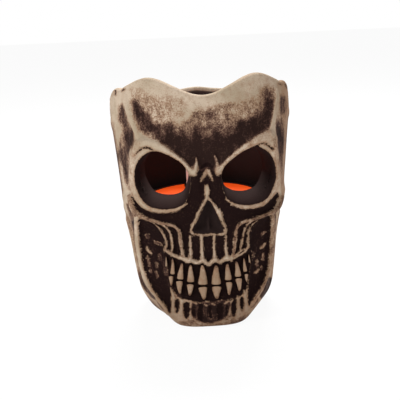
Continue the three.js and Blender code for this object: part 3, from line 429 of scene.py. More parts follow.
POOLS: tuple[Pool, ...] = (
    Pool(((187.4, 176.4), (193, 176.2), (196, 175.8), (198.5, 168), (203, 164), (207, 162), (211, 164),
        (215, 170), (217, 175.2), (223.6, 174.6), (225, 184), (227, 191), (229.6, 198), (233, 204),
        (238, 207.6), (246, 208.9), (254, 208.4), (262, 206.2), (269, 201), (274.5, 194.5), (277, 192.4),
        (278.8, 194.8), (277.6, 200), (273, 209.6), (266, 214.8), (256, 218.4), (245, 221.4), (239.4, 224),
        (236.4, 228), (235, 235), (234, 245), (233.6, 251.5), (229.8, 256.3), (226, 257.5), (222.5, 258.5),
        (219, 261.5), (216, 259.5), (214, 260.3), (211, 264), (207, 264.5), (204.5, 260.5), (202, 261.5),
        (199.8, 261), (197.3, 263), (193.5, 261.5), (191, 257.5), (188.4, 259), (185.6, 256.8), (183.3, 250),
        (181.9, 240), (181, 232), (178.4, 228), (172.5, 224.8), (162.5, 222.4), (151, 219.4), (142, 216.2),
        (135.4, 210.4), (131.8, 202.5), (132.2, 194.5), (134, 194), (137.2, 200.2), (142.4, 206.4),
        (149, 210.2), (157, 212), (166, 213), (175, 211.2), (181, 208.4), (184.6, 204.2), (186.6, 197),
        (187.4, 188)), 0.0016, 3.5),
    Pool(((138.8, 219), (146, 220), (152, 221.6), (157.6, 227), (161.6, 234), (164.2, 240), (164.6, 246),
        (163.6, 250), (166, 255), (167.4, 262), (168.6, 272), (170, 282), (171.6, 291), (171.4, 300),
        (171.8, 307), (170, 313), (167.6, 310.4), (163.4, 304.6), (159.6, 299.6), (156.4, 294.6),
        (153.4, 289.6), (150, 283.4), (147, 276.6), (144.4, 268.6), (142, 259), (140.4, 250), (139.4, 240),
        (138.8, 230)), 0.0026, 5.0),
    Pool(((270.6, 214.4), (264, 216.4), (257.4, 219), (252.5, 223), (249.8, 233), (248.9, 241),
        (249.6, 247.6), (252, 256), (249.8, 266), (248.6, 277), (248, 289), (247.6, 298), (249, 306),
        (252, 302.4), (255.4, 295.6), (259.6, 288.8), (263.8, 281), (266.6, 271.6), (268.6, 260.6),
        (269.6, 249), (270.2, 234)), 0.0026, 5.0),
    Pool(((142, 218.4), (152, 220.8), (163, 223.4), (172, 225.4), (177.4, 229.4), (178.8, 239), (180.4, 249),
        (183, 258), (178, 257), (172, 254), (167, 250.6), (163.4, 247.6), (160, 240), (155, 231.5),
        (148, 224.5)), 0.0008, 2.0),
    Pool(((268, 214.4), (259, 217.8), (249, 220.6), (241.6, 223.4), (237.2, 228), (236.6, 240), (235.4, 250),
        (234.4, 256.4), (240, 253.6), (245, 249.6), (248.6, 244), (250, 236), (254, 228.5), (262, 221.6)),
        0.0008, 2.0),
    Pool(((164.3, 225.3), (168, 226.3), (171, 230), (173.2, 237), (173.8, 246), (174.6, 253.6),
        (177.5, 255.8), (181.8, 256.6), (181.2, 249), (178.5, 249), (177.4, 240), (176.5, 231.5),
        (173, 227.6), (168, 226)), 0.0016, 2.0),
    Pool(((157.5, 224.3), (162, 227), (166.5, 231.5), (169.5, 238), (170.2, 246), (169.8, 252),
        (167.2, 249.5), (167.6, 243.5), (165.5, 237), (161, 230.5)), 0.0014, 1.6),
    Pool(((245.5, 224), (241.5, 226.5), (239.8, 231), (238.3, 238), (237.2, 247), (236.6, 253.4), (239, 252),
        (241.2, 246), (242.7, 237), (244.5, 229.5), (247, 225)), 0.0016, 2.0),
    Pool(((254, 222.5), (249.2, 225.8), (247, 231), (245.2, 238), (243.6, 246.5), (245.3, 247.8),
        (247.6, 241.5), (248, 234), (250.5, 228)), 0.0014, 1.6),
    Pool(((163.6, 250.8), (168, 253.6), (173, 256.6), (178, 258.8), (183, 260.2), (187, 263.4), (191, 262),
        (195.3, 264.4), (199, 263.2), (202.5, 262.2), (206.5, 265.4), (209.5, 266), (213, 263.4),
        (216.8, 262.4), (220.5, 263.8), (224, 261.4), (228, 260), (231.5, 261.4), (234.5, 258.8), (238, 257),
        (242, 255), (246, 252), (249, 247), (252.2, 252), (252.6, 260), (250.4, 268), (249.3, 277),
        (248, 285), (245.3, 292), (240, 296.5), (233.5, 299), (227, 301.5), (221, 300), (214.5, 303),
        (206, 301.5), (198, 303), (191, 300.5), (184, 299.5), (178.5, 297), (174, 292.5), (170.5, 287),
        (168.5, 279), (167, 269), (165, 259)), 0.0024, 3.0),
    Pool(((175.8, 299), (178.4, 298.6), (179.8, 303), (179.4, 309), (177, 313), (175.4, 310.6),
        (174.8, 304)), 0.0012, 1.5),
    Pool(((184, 302.6), (187.6, 301.6), (190, 304), (190.4, 311), (189, 317), (186, 318.6), (183.8, 314),
        (183.4, 307)), 0.0012, 1.5),
    Pool(((192, 306.4), (194, 306), (195.8, 308), (195.8, 315.6), (194, 318), (192.4, 316.4), (191.6, 311)),
        0.0008, 1.5),
    Pool(((198, 303.6), (200.6, 302.8), (203, 304.4), (203.4, 314), (203, 320.6), (200, 321.6),
        (197.8, 318)), 0.0008, 1.5),
    Pool(((208.8, 306), (210.6, 305.4), (212, 308), (212, 316), (210.8, 319.4), (209, 317.6), (208.4, 311)),
        0.0008, 1.5),
    Pool(((217, 303.4), (220, 302.8), (223.2, 304), (223.4, 313), (222.4, 318.6), (219.4, 321), (217, 319.4),
        (216.6, 311)), 0.0008, 1.5),
    Pool(((225.4, 306), (227.4, 305), (228.8, 307.4), (228.2, 313), (226.4, 315.6), (225.2, 312)), 0.0008,
        1.5),
    Pool(((231.4, 304), (233, 300), (236, 299), (237.2, 304), (236.8, 311), (235, 316.4), (232, 315),
        (230.6, 309)), 0.0012, 1.5),
    Pool(((240.4, 298), (242.6, 296.4), (244, 300), (244, 307), (242.6, 311.4), (240.4, 308), (239.6, 303)),
        0.0012, 1.5),
)

STROKES: tuple[Stroke, ...] = (
    # Temple ridges, running down into the outer orbit rims
    Stroke(((123.4, 91, 0.8), (124.4, 95.6, 1.3), (125.6, 102.5, 1.6), (128, 112.5, 1.7),
        (131.9, 122.5, 1.8), (135.6, 131.3, 1.9), (138.8, 136.3, 2.2), (142, 140, 2.6)), 0.0011),
    Stroke(((276.3, 90, 1.2), (277.5, 97.5, 1.6), (275.6, 107.5, 1.8), (273.8, 117.5, 1.8),
        (272.5, 126.3, 2.1), (273.2, 134, 2.6)), 0.0011),
    # Orbit rims: outer borders and the bands under the sockets
    Stroke(((137.6, 143, 3.2), (136, 149, 3.4), (133, 157, 3.0), (132, 168.8, 2.7), (131.9, 180, 2.8),
        (133.2, 189, 3.0), (136.4, 197, 2.6), (141, 203.4, 2.4), (148, 208.2, 2.2), (157, 210.8, 1.8),
        (166, 211.2, 1.5), (175, 210.2, 1.3), (182, 207, 1.1), (187, 203.4, 0.7)), 0.0012, tone=0.22),
    Stroke(((274.4, 138, 3.2), (274.8, 147, 3.0), (276.8, 160, 2.4), (278.2, 172.5, 2.2), (278, 181, 2.4),
        (275.6, 188.5, 2.2), (271.5, 196, 1.5), (266, 201.8, 1.3), (259.5, 205.2, 1.3), (250, 207.3, 1.3),
        (242.5, 207.2, 1.2), (235, 205, 1.1), (229.5, 201.6, 0.9), (226.6, 199, 0.6)), 0.001, tone=0.28),
    # Brow bands, from the orbit's outer corner to the spikes beside the nose
    Stroke(((143, 143, 4.6), (152, 145.4, 4.8), (160, 147.6, 4.3), (167, 151, 3.0), (174, 155, 2.3),
        (181, 160.2, 1.9), (187, 166.4, 1.9), (191.5, 171.4, 2.3), (194.6, 173.4, 1.9), (196, 167, 1.5),
        (196.6, 161.6, 1.4), (195.8, 157.2, 0.8)), 0.0024, spread=3.2, tone=0.06),
    Stroke(((268.5, 134.5, 4.6), (262, 137.8, 4.4), (256, 141, 3.4), (247, 145.4, 2.6), (239.5, 150.2, 2.1),
        (232, 156, 1.8), (225.6, 162.4, 1.8), (220.4, 168.4, 2.1), (217.4, 172, 2.1), (217, 165.4, 1.9),
        (216.2, 160, 1.6), (214.6, 155.4, 0.8)), 0.0024, spread=3.2, tone=0.22),
    # Cheekbone bands and their struts
    Stroke(((129.6, 196, 1.5), (131.8, 205, 2.0), (136.2, 213, 2.2), (143, 217.2, 1.9), (151, 220, 1.4),
        (160, 222.6, 1.2), (168, 224.6, 1.0), (174, 226.2, 1.1), (178, 229.6, 1.0), (180.1, 236, 1.1),
        (180.9, 245, 1.0), (182.4, 256.5, 1.2)), 0.0022, spread=2.4, tone=0.5),
    Stroke(((282.2, 196, 1.0), (279.4, 205, 1.3), (275, 210.6, 1.5), (268, 213.8, 1.4), (260, 217.2, 1.3),
        (250, 220.2, 1.1), (242, 222.8, 0.9), (237.2, 226.8, 1.0), (235.6, 232, 0.9), (234.6, 240, 0.9),
        (234, 250, 0.9), (233, 256, 1.0)), 0.0022, spread=2.4, tone=0.56),
    Stroke(((159, 222.6, 0.6), (165, 226.6, 0.8), (169, 231.2, 0.9), (171.4, 237.8, 0.9),
        (172.4, 246.6, 1.1), (171.2, 253, 1.0)), 0.0014, tone=0.1),
    Stroke(((151, 222, 0.5), (156.4, 225.6, 0.6), (161, 231, 0.8), (165, 238.2, 0.8), (166.4, 244.6, 0.9),
        (165.2, 249.4, 0.9)), 0.0013, tone=0.2),
    Stroke(((250.6, 220.8, 0.6), (245.2, 228.6, 0.8), (243, 236, 0.9), (241.6, 245, 0.9),
        (240.2, 250.6, 0.8)), 0.0014, tone=0.14),
    Stroke(((258, 220.3, 0.5), (250.8, 227, 0.6), (248.6, 233.6, 0.7), (247.5, 241.6, 0.7),
        (246.6, 247, 0.7)), 0.0013, tone=0.14),
    # Nose: its bone edge, and the chevron and blob above it
    Stroke(((207, 198, 1.6), (204.2, 202.6, 1.3), (200.2, 209.6, 1.0), (197.6, 214, 1.5), (196, 219, 0.9),
        (192.8, 225.6, 1.2), (191.2, 230.6, 1.0), (192.6, 233.4, 1.0), (198, 234.8, 0.8), (206, 234.9, 0.8),
        (214, 234.4, 0.8), (221, 234.4, 0.9), (225.8, 232.8, 0.9), (225.4, 228.2, 1.1), (222.4, 221, 0.9),
        (220.8, 217, 1.8), (218.8, 212.6, 2.7), (216, 208.6, 1.8), (211.4, 201.8, 1.2), (208.4, 198, 1.3)),
        0.0017, tone=0.16),
    Stroke(((200.8, 181.2, 0.8), (203, 177.6, 1.3), (205.2, 173.2, 1.9), (206.9, 169.8, 1.3),
        (209, 173, 1.6), (211, 177.2, 1.0), (212.8, 181, 0.6)), 0.0014, tone=0.3),
    Stroke(((206.6, 187, 2.3), (207.2, 190.4, 2.7), (207, 194, 2.2), (207.2, 197.4, 1.5)), 0.0014),
    # Root ridges and the scalloped gum line
    Stroke(((190, 236, 1.2), (190.4, 246, 1.3), (190.6, 257, 1.7), (189.6, 260, 2.2)), 0.0015),
    Stroke(((201.6, 236.4, 1.4), (201.9, 248, 1.5), (202.2, 256, 1.8), (202.6, 259.6, 2.1)), 0.0016),
    Stroke(((214.2, 236, 1.1), (214, 248, 1.2), (214.6, 255.4, 1.6), (215, 258.6, 2.0)), 0.0015),
    Stroke(((226.2, 236, 0.8), (225.8, 247, 1.2), (226.6, 254, 1.8), (227.4, 258, 2.4)), 0.0015),
    Stroke(((165, 248.4, 0.7), (167.5, 250.8, 0.9), (170, 252.4, 1.0), (172.6, 253.8, 1.1),
        (177.4, 256.6, 1.2), (183, 258.2, 1.9), (187.8, 260, 2.2), (192.6, 260.6, 2.0), (196.8, 262.6, 1.8),
        (200.2, 261.6, 1.7), (203, 259.6, 2.1), (208.6, 263.8, 1.3), (214.7, 259.4, 2.0), (220, 261.4, 1.3),
        (226, 258.2, 2.4), (231.4, 257, 1.4), (237, 254, 1.1), (241, 250.8, 0.9), (244.6, 249.4, 0.8),
        (247.4, 246.8, 0.8), (248.6, 244, 0.6)), 0.0018, spread=2.4, tone=0.14),
    # Lower roots and the chin's bone edge
    Stroke(((170.6, 288, 0.4), (172.2, 292.6, 0.9), (173.2, 299, 1.2), (173, 305, 1.2), (174, 311, 1.9)),
        0.0012),
    Stroke(((181.6, 300.6, 1.6), (181.6, 306, 1.4), (181.8, 314, 1.8)), 0.0012),
    Stroke(((237.4, 297.6, 1.0), (238.2, 304, 1.3), (238.4, 312, 1.8)), 0.0012),
    Stroke(((244.4, 290.6, 0.6), (245.4, 298, 1.2), (245.6, 305, 1.3), (245.4, 310, 1.7)), 0.0012),
    Stroke(((192.4, 302, 0.9), (196.2, 303.8, 1.3)), 0.0008, tone=0.2),
    Stroke(((204.6, 304.2, 0.9), (206.8, 305.6, 1.2)), 0.0008, tone=0.3),
    Stroke(((211.8, 303.6, 0.8), (214.6, 305, 1.1)), 0.0008, tone=0.26),
    Stroke(((224.8, 303.6, 1.0), (228.6, 301.2, 1.1)), 0.0008, tone=0.2),
    Stroke(((190.6, 309, 0.3), (190.4, 313, 0.7), (190, 318.4, 1.2)), 0.0006, tone=0.1),
    Stroke(((196.6, 312, 0.3), (196.8, 318, 0.8)), 0.0005, tone=0.4),
    Stroke(((206, 307.6, 0.8), (206.4, 318, 0.6)), 0.0005, tone=0.62),
    Stroke(((214.6, 307, 0.6), (215, 317.6, 0.5)), 0.0005, tone=0.62),
    Stroke(((230, 307, 0.5), (229.4, 314.6, 1.0)), 0.0005, tone=0.16),
    # Jaw edges, from the cheekbone down to the chin
    Stroke(((136.6, 217.5, 1.7), (137, 229, 1.9), (137.8, 242.5, 2.0), (140.1, 258, 2.0), (141.6, 266, 1.8),
        (143, 272, 1.7), (145.2, 278.6, 1.6), (149, 286, 1.4), (152.6, 291.4, 1.3), (156, 295.6, 1.2),
        (159.8, 301.2, 1.5), (164.4, 307, 1.7), (167.8, 312.4, 1.6)), 0.002, spread=2.6, tone=0.16),
    Stroke(((272.4, 216, 1.4), (272.4, 231.3, 1.7), (271.9, 247.5, 1.7), (270.4, 262, 1.6),
        (267.9, 271, 1.3), (265.3, 280, 1.1), (261.4, 288, 1.1), (257.8, 293.6, 1.1), (254, 299.6, 1.2),
        (250.6, 305.6, 1.3)), 0.002, spread=2.6, tone=0.42),
    # Spots in the cheek hollows where the dark paint has worn off
    Stroke(((146.6, 247.2, 0.8), (148.6, 251, 1.4), (150.8, 253.4, 0.8)), 0.0006),
    Stroke(((261, 248, 0.8), (263.2, 246, 1.3), (265.4, 243.6, 0.7)), 0.0006, tone=0.3),
    Stroke(((254.2, 273, 0.6), (256.2, 272, 1.0), (258.4, 270, 0.9)), 0.0005, tone=0.3),
    Stroke(((146.8, 235.2, 1.0), (148.2, 237.4, 1.0)), 0.0005, tone=0.83),
    Stroke(((147.4, 257, 0.7), (148.4, 261, 0.9), (149.4, 265.4, 0.9)), 0.0005, tone=0.56),
    Stroke(((150, 269.6, 0.8), (150.8, 272, 0.9)), 0.0005, tone=0.7),
    Stroke(((155.8, 271.8, 0.7), (157.6, 276.8, 0.9)), 0.0005, tone=0.6),
    Stroke(((155, 242.2, 0.8), (158.4, 243.2, 0.8), (161.4, 244.8, 0.6)), 0.0004, tone=0.84),
    Stroke(((156.4, 262.6, 0.7), (157, 267, 0.7)), 0.0004, tone=0.82),
    Stroke(((159.6, 254.6, 0.7), (160, 259, 0.7)), 0.0004, tone=0.84),
    Stroke(((164.8, 269.6, 0.8), (166, 274.4, 0.9)), 0.0005, tone=0.7),
    Stroke(((265, 231.8, 0.9), (262, 234, 0.9)), 0.0005, tone=0.74),
    Stroke(((263.2, 253.8, 0.7), (263, 259.6, 1.0)), 0.0005, tone=0.56),
    Stroke(((256.8, 260.2, 0.7), (256.8, 265.4, 0.9)), 0.0005, tone=0.58),
    Stroke(((261.4, 266.6, 0.7), (261.8, 269.4, 0.7)), 0.0004, tone=0.8),
    Stroke(((253.6, 252.8, 0.6), (254, 256.6, 0.7)), 0.0004, tone=0.82),
    # Cuts in the bone: beside the brows and on the rim
    Stroke(((134.6, 154.4, 0.6), (139.4, 150.4, 0.8), (144.6, 147.6, 0.8), (149.4, 148.2, 0.9),
        (153.4, 150.4, 0.4)), -0.0009, Finish.MARK),
    Stroke(((251.4, 147.2, 0.4), (256.3, 145.4, 0.6), (262, 143.2, 0.6), (267, 144.4, 0.8),
        (273.2, 149.4, 1.0)), -0.0009, Finish.MARK),
    Stroke(((115.2, 91, 0.9), (115.4, 94.4, 0.7)), -0.0006, Finish.MARK),
    Stroke(((122.4, 90.6, 0.6), (124, 89.4, 0.7)), -0.0006, Finish.MARK),
    Stroke(((278.6, 84, 0.5), (281.4, 84.6, 0.6)), -0.0006, Finish.MARK),
    Stroke(((285.4, 84.6, 0.6), (286.6, 88, 0.6)), -0.0006, Finish.MARK),
)

WASHES: tuple[Wash, ...] = (
    # Forehead, in layers that thin upwards
    Wash(((129.5, 99), (132, 96.5), (135.5, 95), (139.5, 98), (143, 104), (148.5, 106.5), (152, 112.5),
        (155, 118), (161, 121), (168, 120), (174, 122.5), (179.5, 125.5), (184.5, 121.5), (190.5, 118),
        (193, 111.5), (201, 109), (208, 109), (215, 106.5), (223, 104), (231, 101.5), (239, 102), (248, 99),
        (256, 96), (260, 90), (262.5, 85), (266.5, 84), (270, 86), (275, 86.5), (277.5, 90), (276.5, 98),
        (275, 106), (273.6, 114), (272.4, 122), (270.4, 127.4), (262, 133.6), (255, 138.5), (248, 142.5),
        (243, 147), (238, 152.5), (232.4, 156.5), (226.4, 161), (221.5, 166.5), (216, 172), (211, 168),
        (207, 166), (203, 168), (197, 172), (194, 166), (190, 169.6), (183, 164.5), (176.6, 159.5),
        (170.4, 155), (164.6, 150), (159.6, 145), (155.4, 140.6), (150, 137), (144, 134.4), (139.8, 132),
        (135.5, 124), (132, 115), (129.4, 106)), 0.44, 9.0),
    Wash(((131, 101), (135, 97.6), (138.6, 100.4), (143.4, 107.6), (148.6, 113.4), (152.4, 119.6),
        (158, 122.6), (162.5, 124), (167.5, 122), (172.5, 126), (176.5, 130.5), (181.5, 131.5),
        (186.5, 128.6), (192, 126.6), (198, 122.6), (204.6, 126.6), (210.4, 122.6), (217.4, 125.6),
        (227, 126.6), (234.4, 122), (239.4, 117.4), (246, 118.2), (251, 115.4), (257, 111.4), (260.4, 105),
        (263.4, 97), (264.4, 88.6), (268.4, 88.2), (272.6, 89.6), (275, 93), (274.6, 104), (273.4, 112),
        (271.6, 120), (270.6, 126), (262, 133), (254.6, 138.4), (247.4, 142), (242.6, 147.6), (237.4, 153),
        (231.4, 157.4), (225.4, 162), (220.4, 166), (214.6, 170), (207, 167), (200, 171), (196.6, 166),
        (190.4, 169.6), (183, 164.4), (176.6, 159.6), (170.4, 155), (165.4, 150), (159, 144.6),
        (153.6, 139.2), (147, 134.6), (140.6, 131.6), (136.6, 125), (133.8, 116), (131.2, 108)), 0.25, 7.0,
        0.0016),
    Wash(((133, 103), (135.4, 100.4), (138.6, 102.6), (142.6, 109), (147.8, 114.4), (151.6, 122.6),
        (158, 124.6), (162.4, 127), (167, 125), (171.4, 127.6), (175.4, 134.6), (180, 136.6), (184.6, 133.6),
        (190, 134), (194, 130), (199, 127.6), (203.4, 136), (208, 135.6), (213, 128.6), (220, 131.6),
        (228, 135.6), (233, 130.6), (238, 121.2), (244, 119.6), (248, 120.6), (252.4, 116.6), (261, 112.6),
        (264.4, 107), (267.4, 96.6), (271, 92.6), (273.4, 95), (274, 105), (272.4, 114), (271, 122),
        (269.6, 127.4), (261, 133.4), (254, 139), (246.6, 143.4), (242, 149.6), (236, 154), (230, 158.6),
        (224.4, 163), (218, 166), (212, 170), (207, 168), (201, 171), (197, 164), (190.4, 168), (183, 162.8),
        (177, 158), (171, 153.6), (166.6, 148), (160.8, 142.4), (155, 134.4), (148, 130.6), (140.6, 130),
        (137.6, 123), (135, 115), (132.8, 108)), 0.25, 6.0),
    Wash(((160.6, 140.6), (164.6, 136), (170.6, 132.6), (176, 136.6), (181, 139.4), (190, 139.4),
        (196, 134.6), (200.4, 134.6), (205, 139), (210, 136.4), (214.6, 133), (222, 135.6), (229, 137.6),
        (234.4, 132), (239, 122.6), (244, 122), (250, 124.4), (253.4, 118.6), (261, 118.4), (265, 109.6),
        (267.4, 102.4), (269.4, 99.4), (271.4, 101.4), (272, 107), (270.6, 117), (268.6, 124), (259.6, 133),
        (251.6, 138.4), (243.4, 145.4), (238, 152), (231.6, 156.6), (224.6, 161.6), (218, 164), (212, 170),
        (207, 168), (201, 171), (197.6, 162), (190.4, 167.4), (183.4, 162), (177.6, 156.6), (172.6, 151),
        (168.6, 146.6), (164, 144)), 0.26, 7.0),
    Wash(((134.6, 104.4), (137.6, 105), (140.6, 111.4), (144.6, 115), (146.4, 121.6), (144.6, 125.6),
        (140.6, 122), (138, 116), (135.6, 110)), 0.24, 5.0),
    Wash(((148.6, 124.6), (154, 125), (157, 128.6), (155, 131), (150.4, 130.4)), 0.2, 5.0),
    Wash(((186, 146), (198, 141), (208, 142), (220, 142), (232, 140), (236, 146), (226, 154), (217, 160),
        (211, 166), (203, 166), (197, 160), (190, 158), (182, 150)), 0.16, 10.0),
    # These three darken the left middle of the forehead: brown wash, partly painted shade where the key lamp
    # lights it most
    Wash(((142, 98), (160, 92), (180, 94), (200, 100), (226, 100), (240, 104), (232, 122), (200, 126),
        (178, 128), (160, 124), (150, 114)), 0.1, 12.0),
    Wash(((152, 107), (166, 106), (172, 114), (166, 120), (156, 119), (150, 113)), 0.14, 7.0),
    Wash(((146, 100), (160, 95), (178, 97), (186, 104), (184, 116), (174, 119), (160, 118), (152, 112)), 0.2,
        9.0),
    Wash(((128, 88), (136, 86), (144, 89), (150, 98), (146, 103), (138, 97), (130, 94)), 0.26, 6.0),
    # Along the chin's lower edge: brown wash, partly painted shade where the edge faces down
    Wash(((176, 321), (200, 320), (232, 319), (244, 316), (240, 328), (200, 330), (178, 328)), 0.2, 4.0),
    Wash(((197.4, 113), (201, 112.4), (202.6, 116), (200, 119), (197.4, 117.4)), 0.14, 4.0),
    Wash(((209, 113), (213, 112), (215.4, 115), (212, 118), (209, 117.6)), 0.14, 4.0),
    # Down the right edge of forehead and temple: brown wash, partly painted shade on the side away from the
    # key lamp
    Wash(((280.4, 97), (283, 95), (285, 98), (285.4, 106), (284.6, 113), (281, 115), (279.2, 108)), 0.14,
        4.0),
    Wash(((275.4, 128), (277, 120), (281, 118), (284.4, 122), (285, 132), (284.8, 142), (284.2, 152),
        (283.4, 165), (283, 176), (283.2, 184), (281.8, 184), (281.2, 174), (279.8, 162), (277.6, 150),
        (275.6, 138)), 0.22, 4.0),
    # Temples
    Wash(((118.4, 107), (120, 104), (122, 103), (125.4, 106), (126.6, 112), (129, 120.6), (132, 124.4),
        (134.4, 130), (135.4, 138), (134.2, 146), (131, 151), (129.8, 158), (130.2, 168), (129.6, 180),
        (130, 189), (127.4, 190), (125.6, 186), (123.6, 179), (121.6, 171), (120, 163), (117.4, 157.6),
        (117, 150), (118.6, 142), (120.6, 136), (121.8, 130.6), (118.6, 123), (117.6, 114)), 0.5, 5.0,
        0.0012),
    Wash(((119.8, 110), (121.6, 106), (124.6, 109.6), (125.8, 116), (128.6, 123.6), (131.4, 127),
        (133.6, 133), (133.4, 143), (130.8, 148), (128.4, 153), (128.2, 160), (128.8, 170), (128, 180),
        (126.8, 183.6), (124.6, 178.6), (123, 170), (120.2, 162), (118.4, 156), (118.8, 150), (122.6, 147),
        (123.6, 141), (124, 133), (122.8, 126), (120, 121.6), (119, 115)), 0.38, 4.0),
    Wash(((126.6, 132.6), (129, 128.6), (131.4, 132.6), (132.8, 140), (131, 145.4), (128.2, 145.4),
        (125.8, 140)), 0.24, 4.0),
    Wash(((279.4, 95), (283, 92.8), (286, 95.4), (287.4, 102), (287, 112), (285.6, 122), (285.6, 135),
        (284.8, 148), (283.6, 158), (283, 170), (282.6, 182), (281.6, 188), (280.6, 180), (279.4, 168),
        (277.4, 158), (274.8, 148), (274.4, 138), (274.8, 127), (276.4, 119), (278.4, 112), (279, 103)),
        0.46, 4.0, 0.001),
    Wash(((281, 98.6), (283, 97), (285, 101), (285.6, 107), (284, 112.6), (281.4, 114.6), (280.6, 108)),
        0.28, 4.0),
    Wash(((277, 124), (279, 121), (281.2, 129), (283.6, 138), (284.2, 146), (283, 157), (282, 165.4),
        (280.8, 165), (279, 152), (276.6, 144), (275.2, 136), (275.4, 128)), 0.28, 4.0),
    Wash(((276.6, 124), (279.4, 126), (281.2, 132), (282.2, 141), (279.2, 140.4), (276.6, 134)), 0.22, 3.0),
    # Outside of the jaw
    Wash(((126.6, 204), (130.6, 206), (133, 212), (134.6, 219), (135.2, 224), (132, 223), (128.8, 214)),
        0.85, 3.0),
    Wash(((131.6, 222), (135, 223), (135.8, 232), (136, 241), (134, 241), (132, 231)), 0.85, 2.5),
    Wash(((136.4, 246), (138, 256), (139.4, 266), (138, 267), (136.4, 257)), 0.4, 2.5),
    Wash(((139.8, 267), (143, 276), (147.4, 284.4), (152.6, 292), (156.4, 298), (154, 299.4), (148.8, 294),
        (143.6, 287.4), (140.6, 280), (139.2, 272)), 0.92, 2.5),
    Wash(((157.5, 299.6), (161, 304.4), (165.4, 309.4), (164, 311), (159.6, 306.4), (156.8, 301.4)), 0.85,
        2.0),
    Wash(((268.6, 277), (265.4, 284), (262.8, 290), (260, 296), (262, 299), (266.6, 294.6), (270, 288.6),
        (271, 280)), 1.05, 2.5),
    Wash(((257.6, 297), (255, 302), (250.6, 307.6), (252.6, 309), (258.6, 302)), 0.6, 2.5),
    Wash(((273.4, 213), (275.6, 213), (276.4, 222), (275.6, 232), (273.8, 232), (273.4, 222)), 0.62, 2.5),
    Wash(((272.6, 240), (275, 240), (273.6, 256), (271.4, 276), (269.6, 277), (271.8, 258)), 0.36, 3.0),
    # Worn patches in the cheek hollows
    Wash(((141, 238), (150, 234), (158, 246), (162, 262), (158, 276), (163, 290), (158, 291), (150, 280),
        (144.4, 262)), 0.26, 7.0),
    Wash(((268, 236), (260, 234), (253, 250), (251.6, 266), (250.6, 284), (255, 284), (262, 274),
        (267, 256)), 0.24, 7.0),
    # The mouth's corners
    Wash(((160, 256), (167, 262), (171, 274), (176, 288), (184, 297), (176, 299), (169, 290), (164, 276)),
        0.5, 6.0),
    # Chin, below the lower teeth
    Wash(((190.4, 311), (191.6, 305), (194, 302), (199, 303), (205, 301.6), (212, 302), (220, 300.6),
        (226, 300.4), (231, 303), (231, 310), (227.4, 314.6), (222, 319.6), (212, 322.6), (203, 322.6),
        (197, 320), (191.8, 316)), 1.04, 3.5, 0.0006),
    # Along the chin's lower edge: brown wash, partly painted shade where the edge faces down
    Wash(((176, 321), (190, 322.4), (204, 323.6), (220, 323.4), (236, 320.4), (246, 314), (250, 316),
        (240, 326), (220, 330), (190, 330), (172, 324)), 0.3, 3.0),
    Wash(((224, 316), (238, 311), (247, 307), (252, 312), (244, 322), (230, 327)), 0.16, 4.0),
    Wash(((184, 312), (190, 316), (197, 321), (191, 322), (186, 319)), 0.4, 4.0),
    Wash(((226, 316), (232, 312), (236, 314), (232, 319), (226, 321)), 0.4, 4.0),
)


@dataclass
class PaintMap:
    """The face's relief and paint, evaluated in the front view; lengths are in the view's units."""

    far: float = 24.0
    ink_reach: float = 3.0
    wash_slope: float = 8.0
    pool_edge: float = -0.5
    bone_edge: Pair = (-0.8, 0.6)
    tone_edge: Pair = (-1.0, 0.4)
    crest: Pair = (-0.6, 0.7)
    wash_on_bone: float = 0.12
    fine_lines: dict[int, Array] = field(default_factory=dict)

    def fine(self, feature: Pool | Stroke | Wash) -> Array:
        """Smooth form of a feature, kept for the next call.

        Args:
            feature: The feature.

        Returns:
            Its finer line or outline.
        """
        key, closed = id(feature), not isinstance(feature, Stroke)
        if key not in self.fine_lines:
            self.fine_lines[key] = rounded(feature.outline if closed else feature.line, 4, closed)
        return self.fine_lines[key]

    def layers(self, uv: Array) -> dict[str, Array]:
        """Height and paint at places of the front view.

        Args:
            uv: Places in the view.

        Returns:
            rise in metres, ink as a signed distance (positive is dark) and wash density.
        """
        rise, wash, tan = (np.zeros(len(uv)) for _ in range(3))
        dark, bone, mark = (np.full(len(uv), self.far) for _ in range(3))
        for wide in WASHES:
            gap = outline_distance(uv, self.fine(wide))
            wash += wide.strength * soft_step(-gap, -0.5 * wide.soft, 0.5 * wide.soft)
            rise -= wide.depth * soft_step(-gap, 0, self.wash_slope)
        for pool in POOLS:
            gap = outline_distance(uv, self.fine(pool))
            dark = np.minimum(dark, gap)
            rise -= pool.depth * soft_step(-gap, self.pool_edge, pool.soft)
        for socket in OPENINGS:
            dark = np.minimum(dark, outline_distance(uv, socket))
        for stroke in STROKES:
            gap = line_distance(uv, self.fine(stroke))
            if stroke.finish is Finish.MARK:
                mark = np.minimum(mark, gap)
                rise += stroke.rise * soft_step(-gap, *self.bone_edge)
                continue
            bone = np.minimum(bone, gap)
            tan = np.maximum(tan, stroke.tone * soft_step(-gap, *self.tone_edge))
            low, high = (share * stroke.spread for share in self.crest)
            rise += stroke.rise * (1 - soft_step(gap, low, high))
        ink = np.maximum(np.minimum(-dark, bone), -mark)
        covered = self.wash_on_bone + (1 - self.wash_on_bone) * soft_step(bone, *self.bone_edge)
        return {"rise": rise, "ink": np.clip(ink, -self.ink_reach, self.ink_reach),
                "wash": wash * covered + tan}


PAINT = PaintMap()


# Surfaces of the shell

RIDGE_MARGIN = 0.03


@dataclass(frozen=True)
class Ridge:
    """A soft ridge along a line: how far it stands out and how wide it is, in metres."""

    line: Points
    rise: float
    width: float


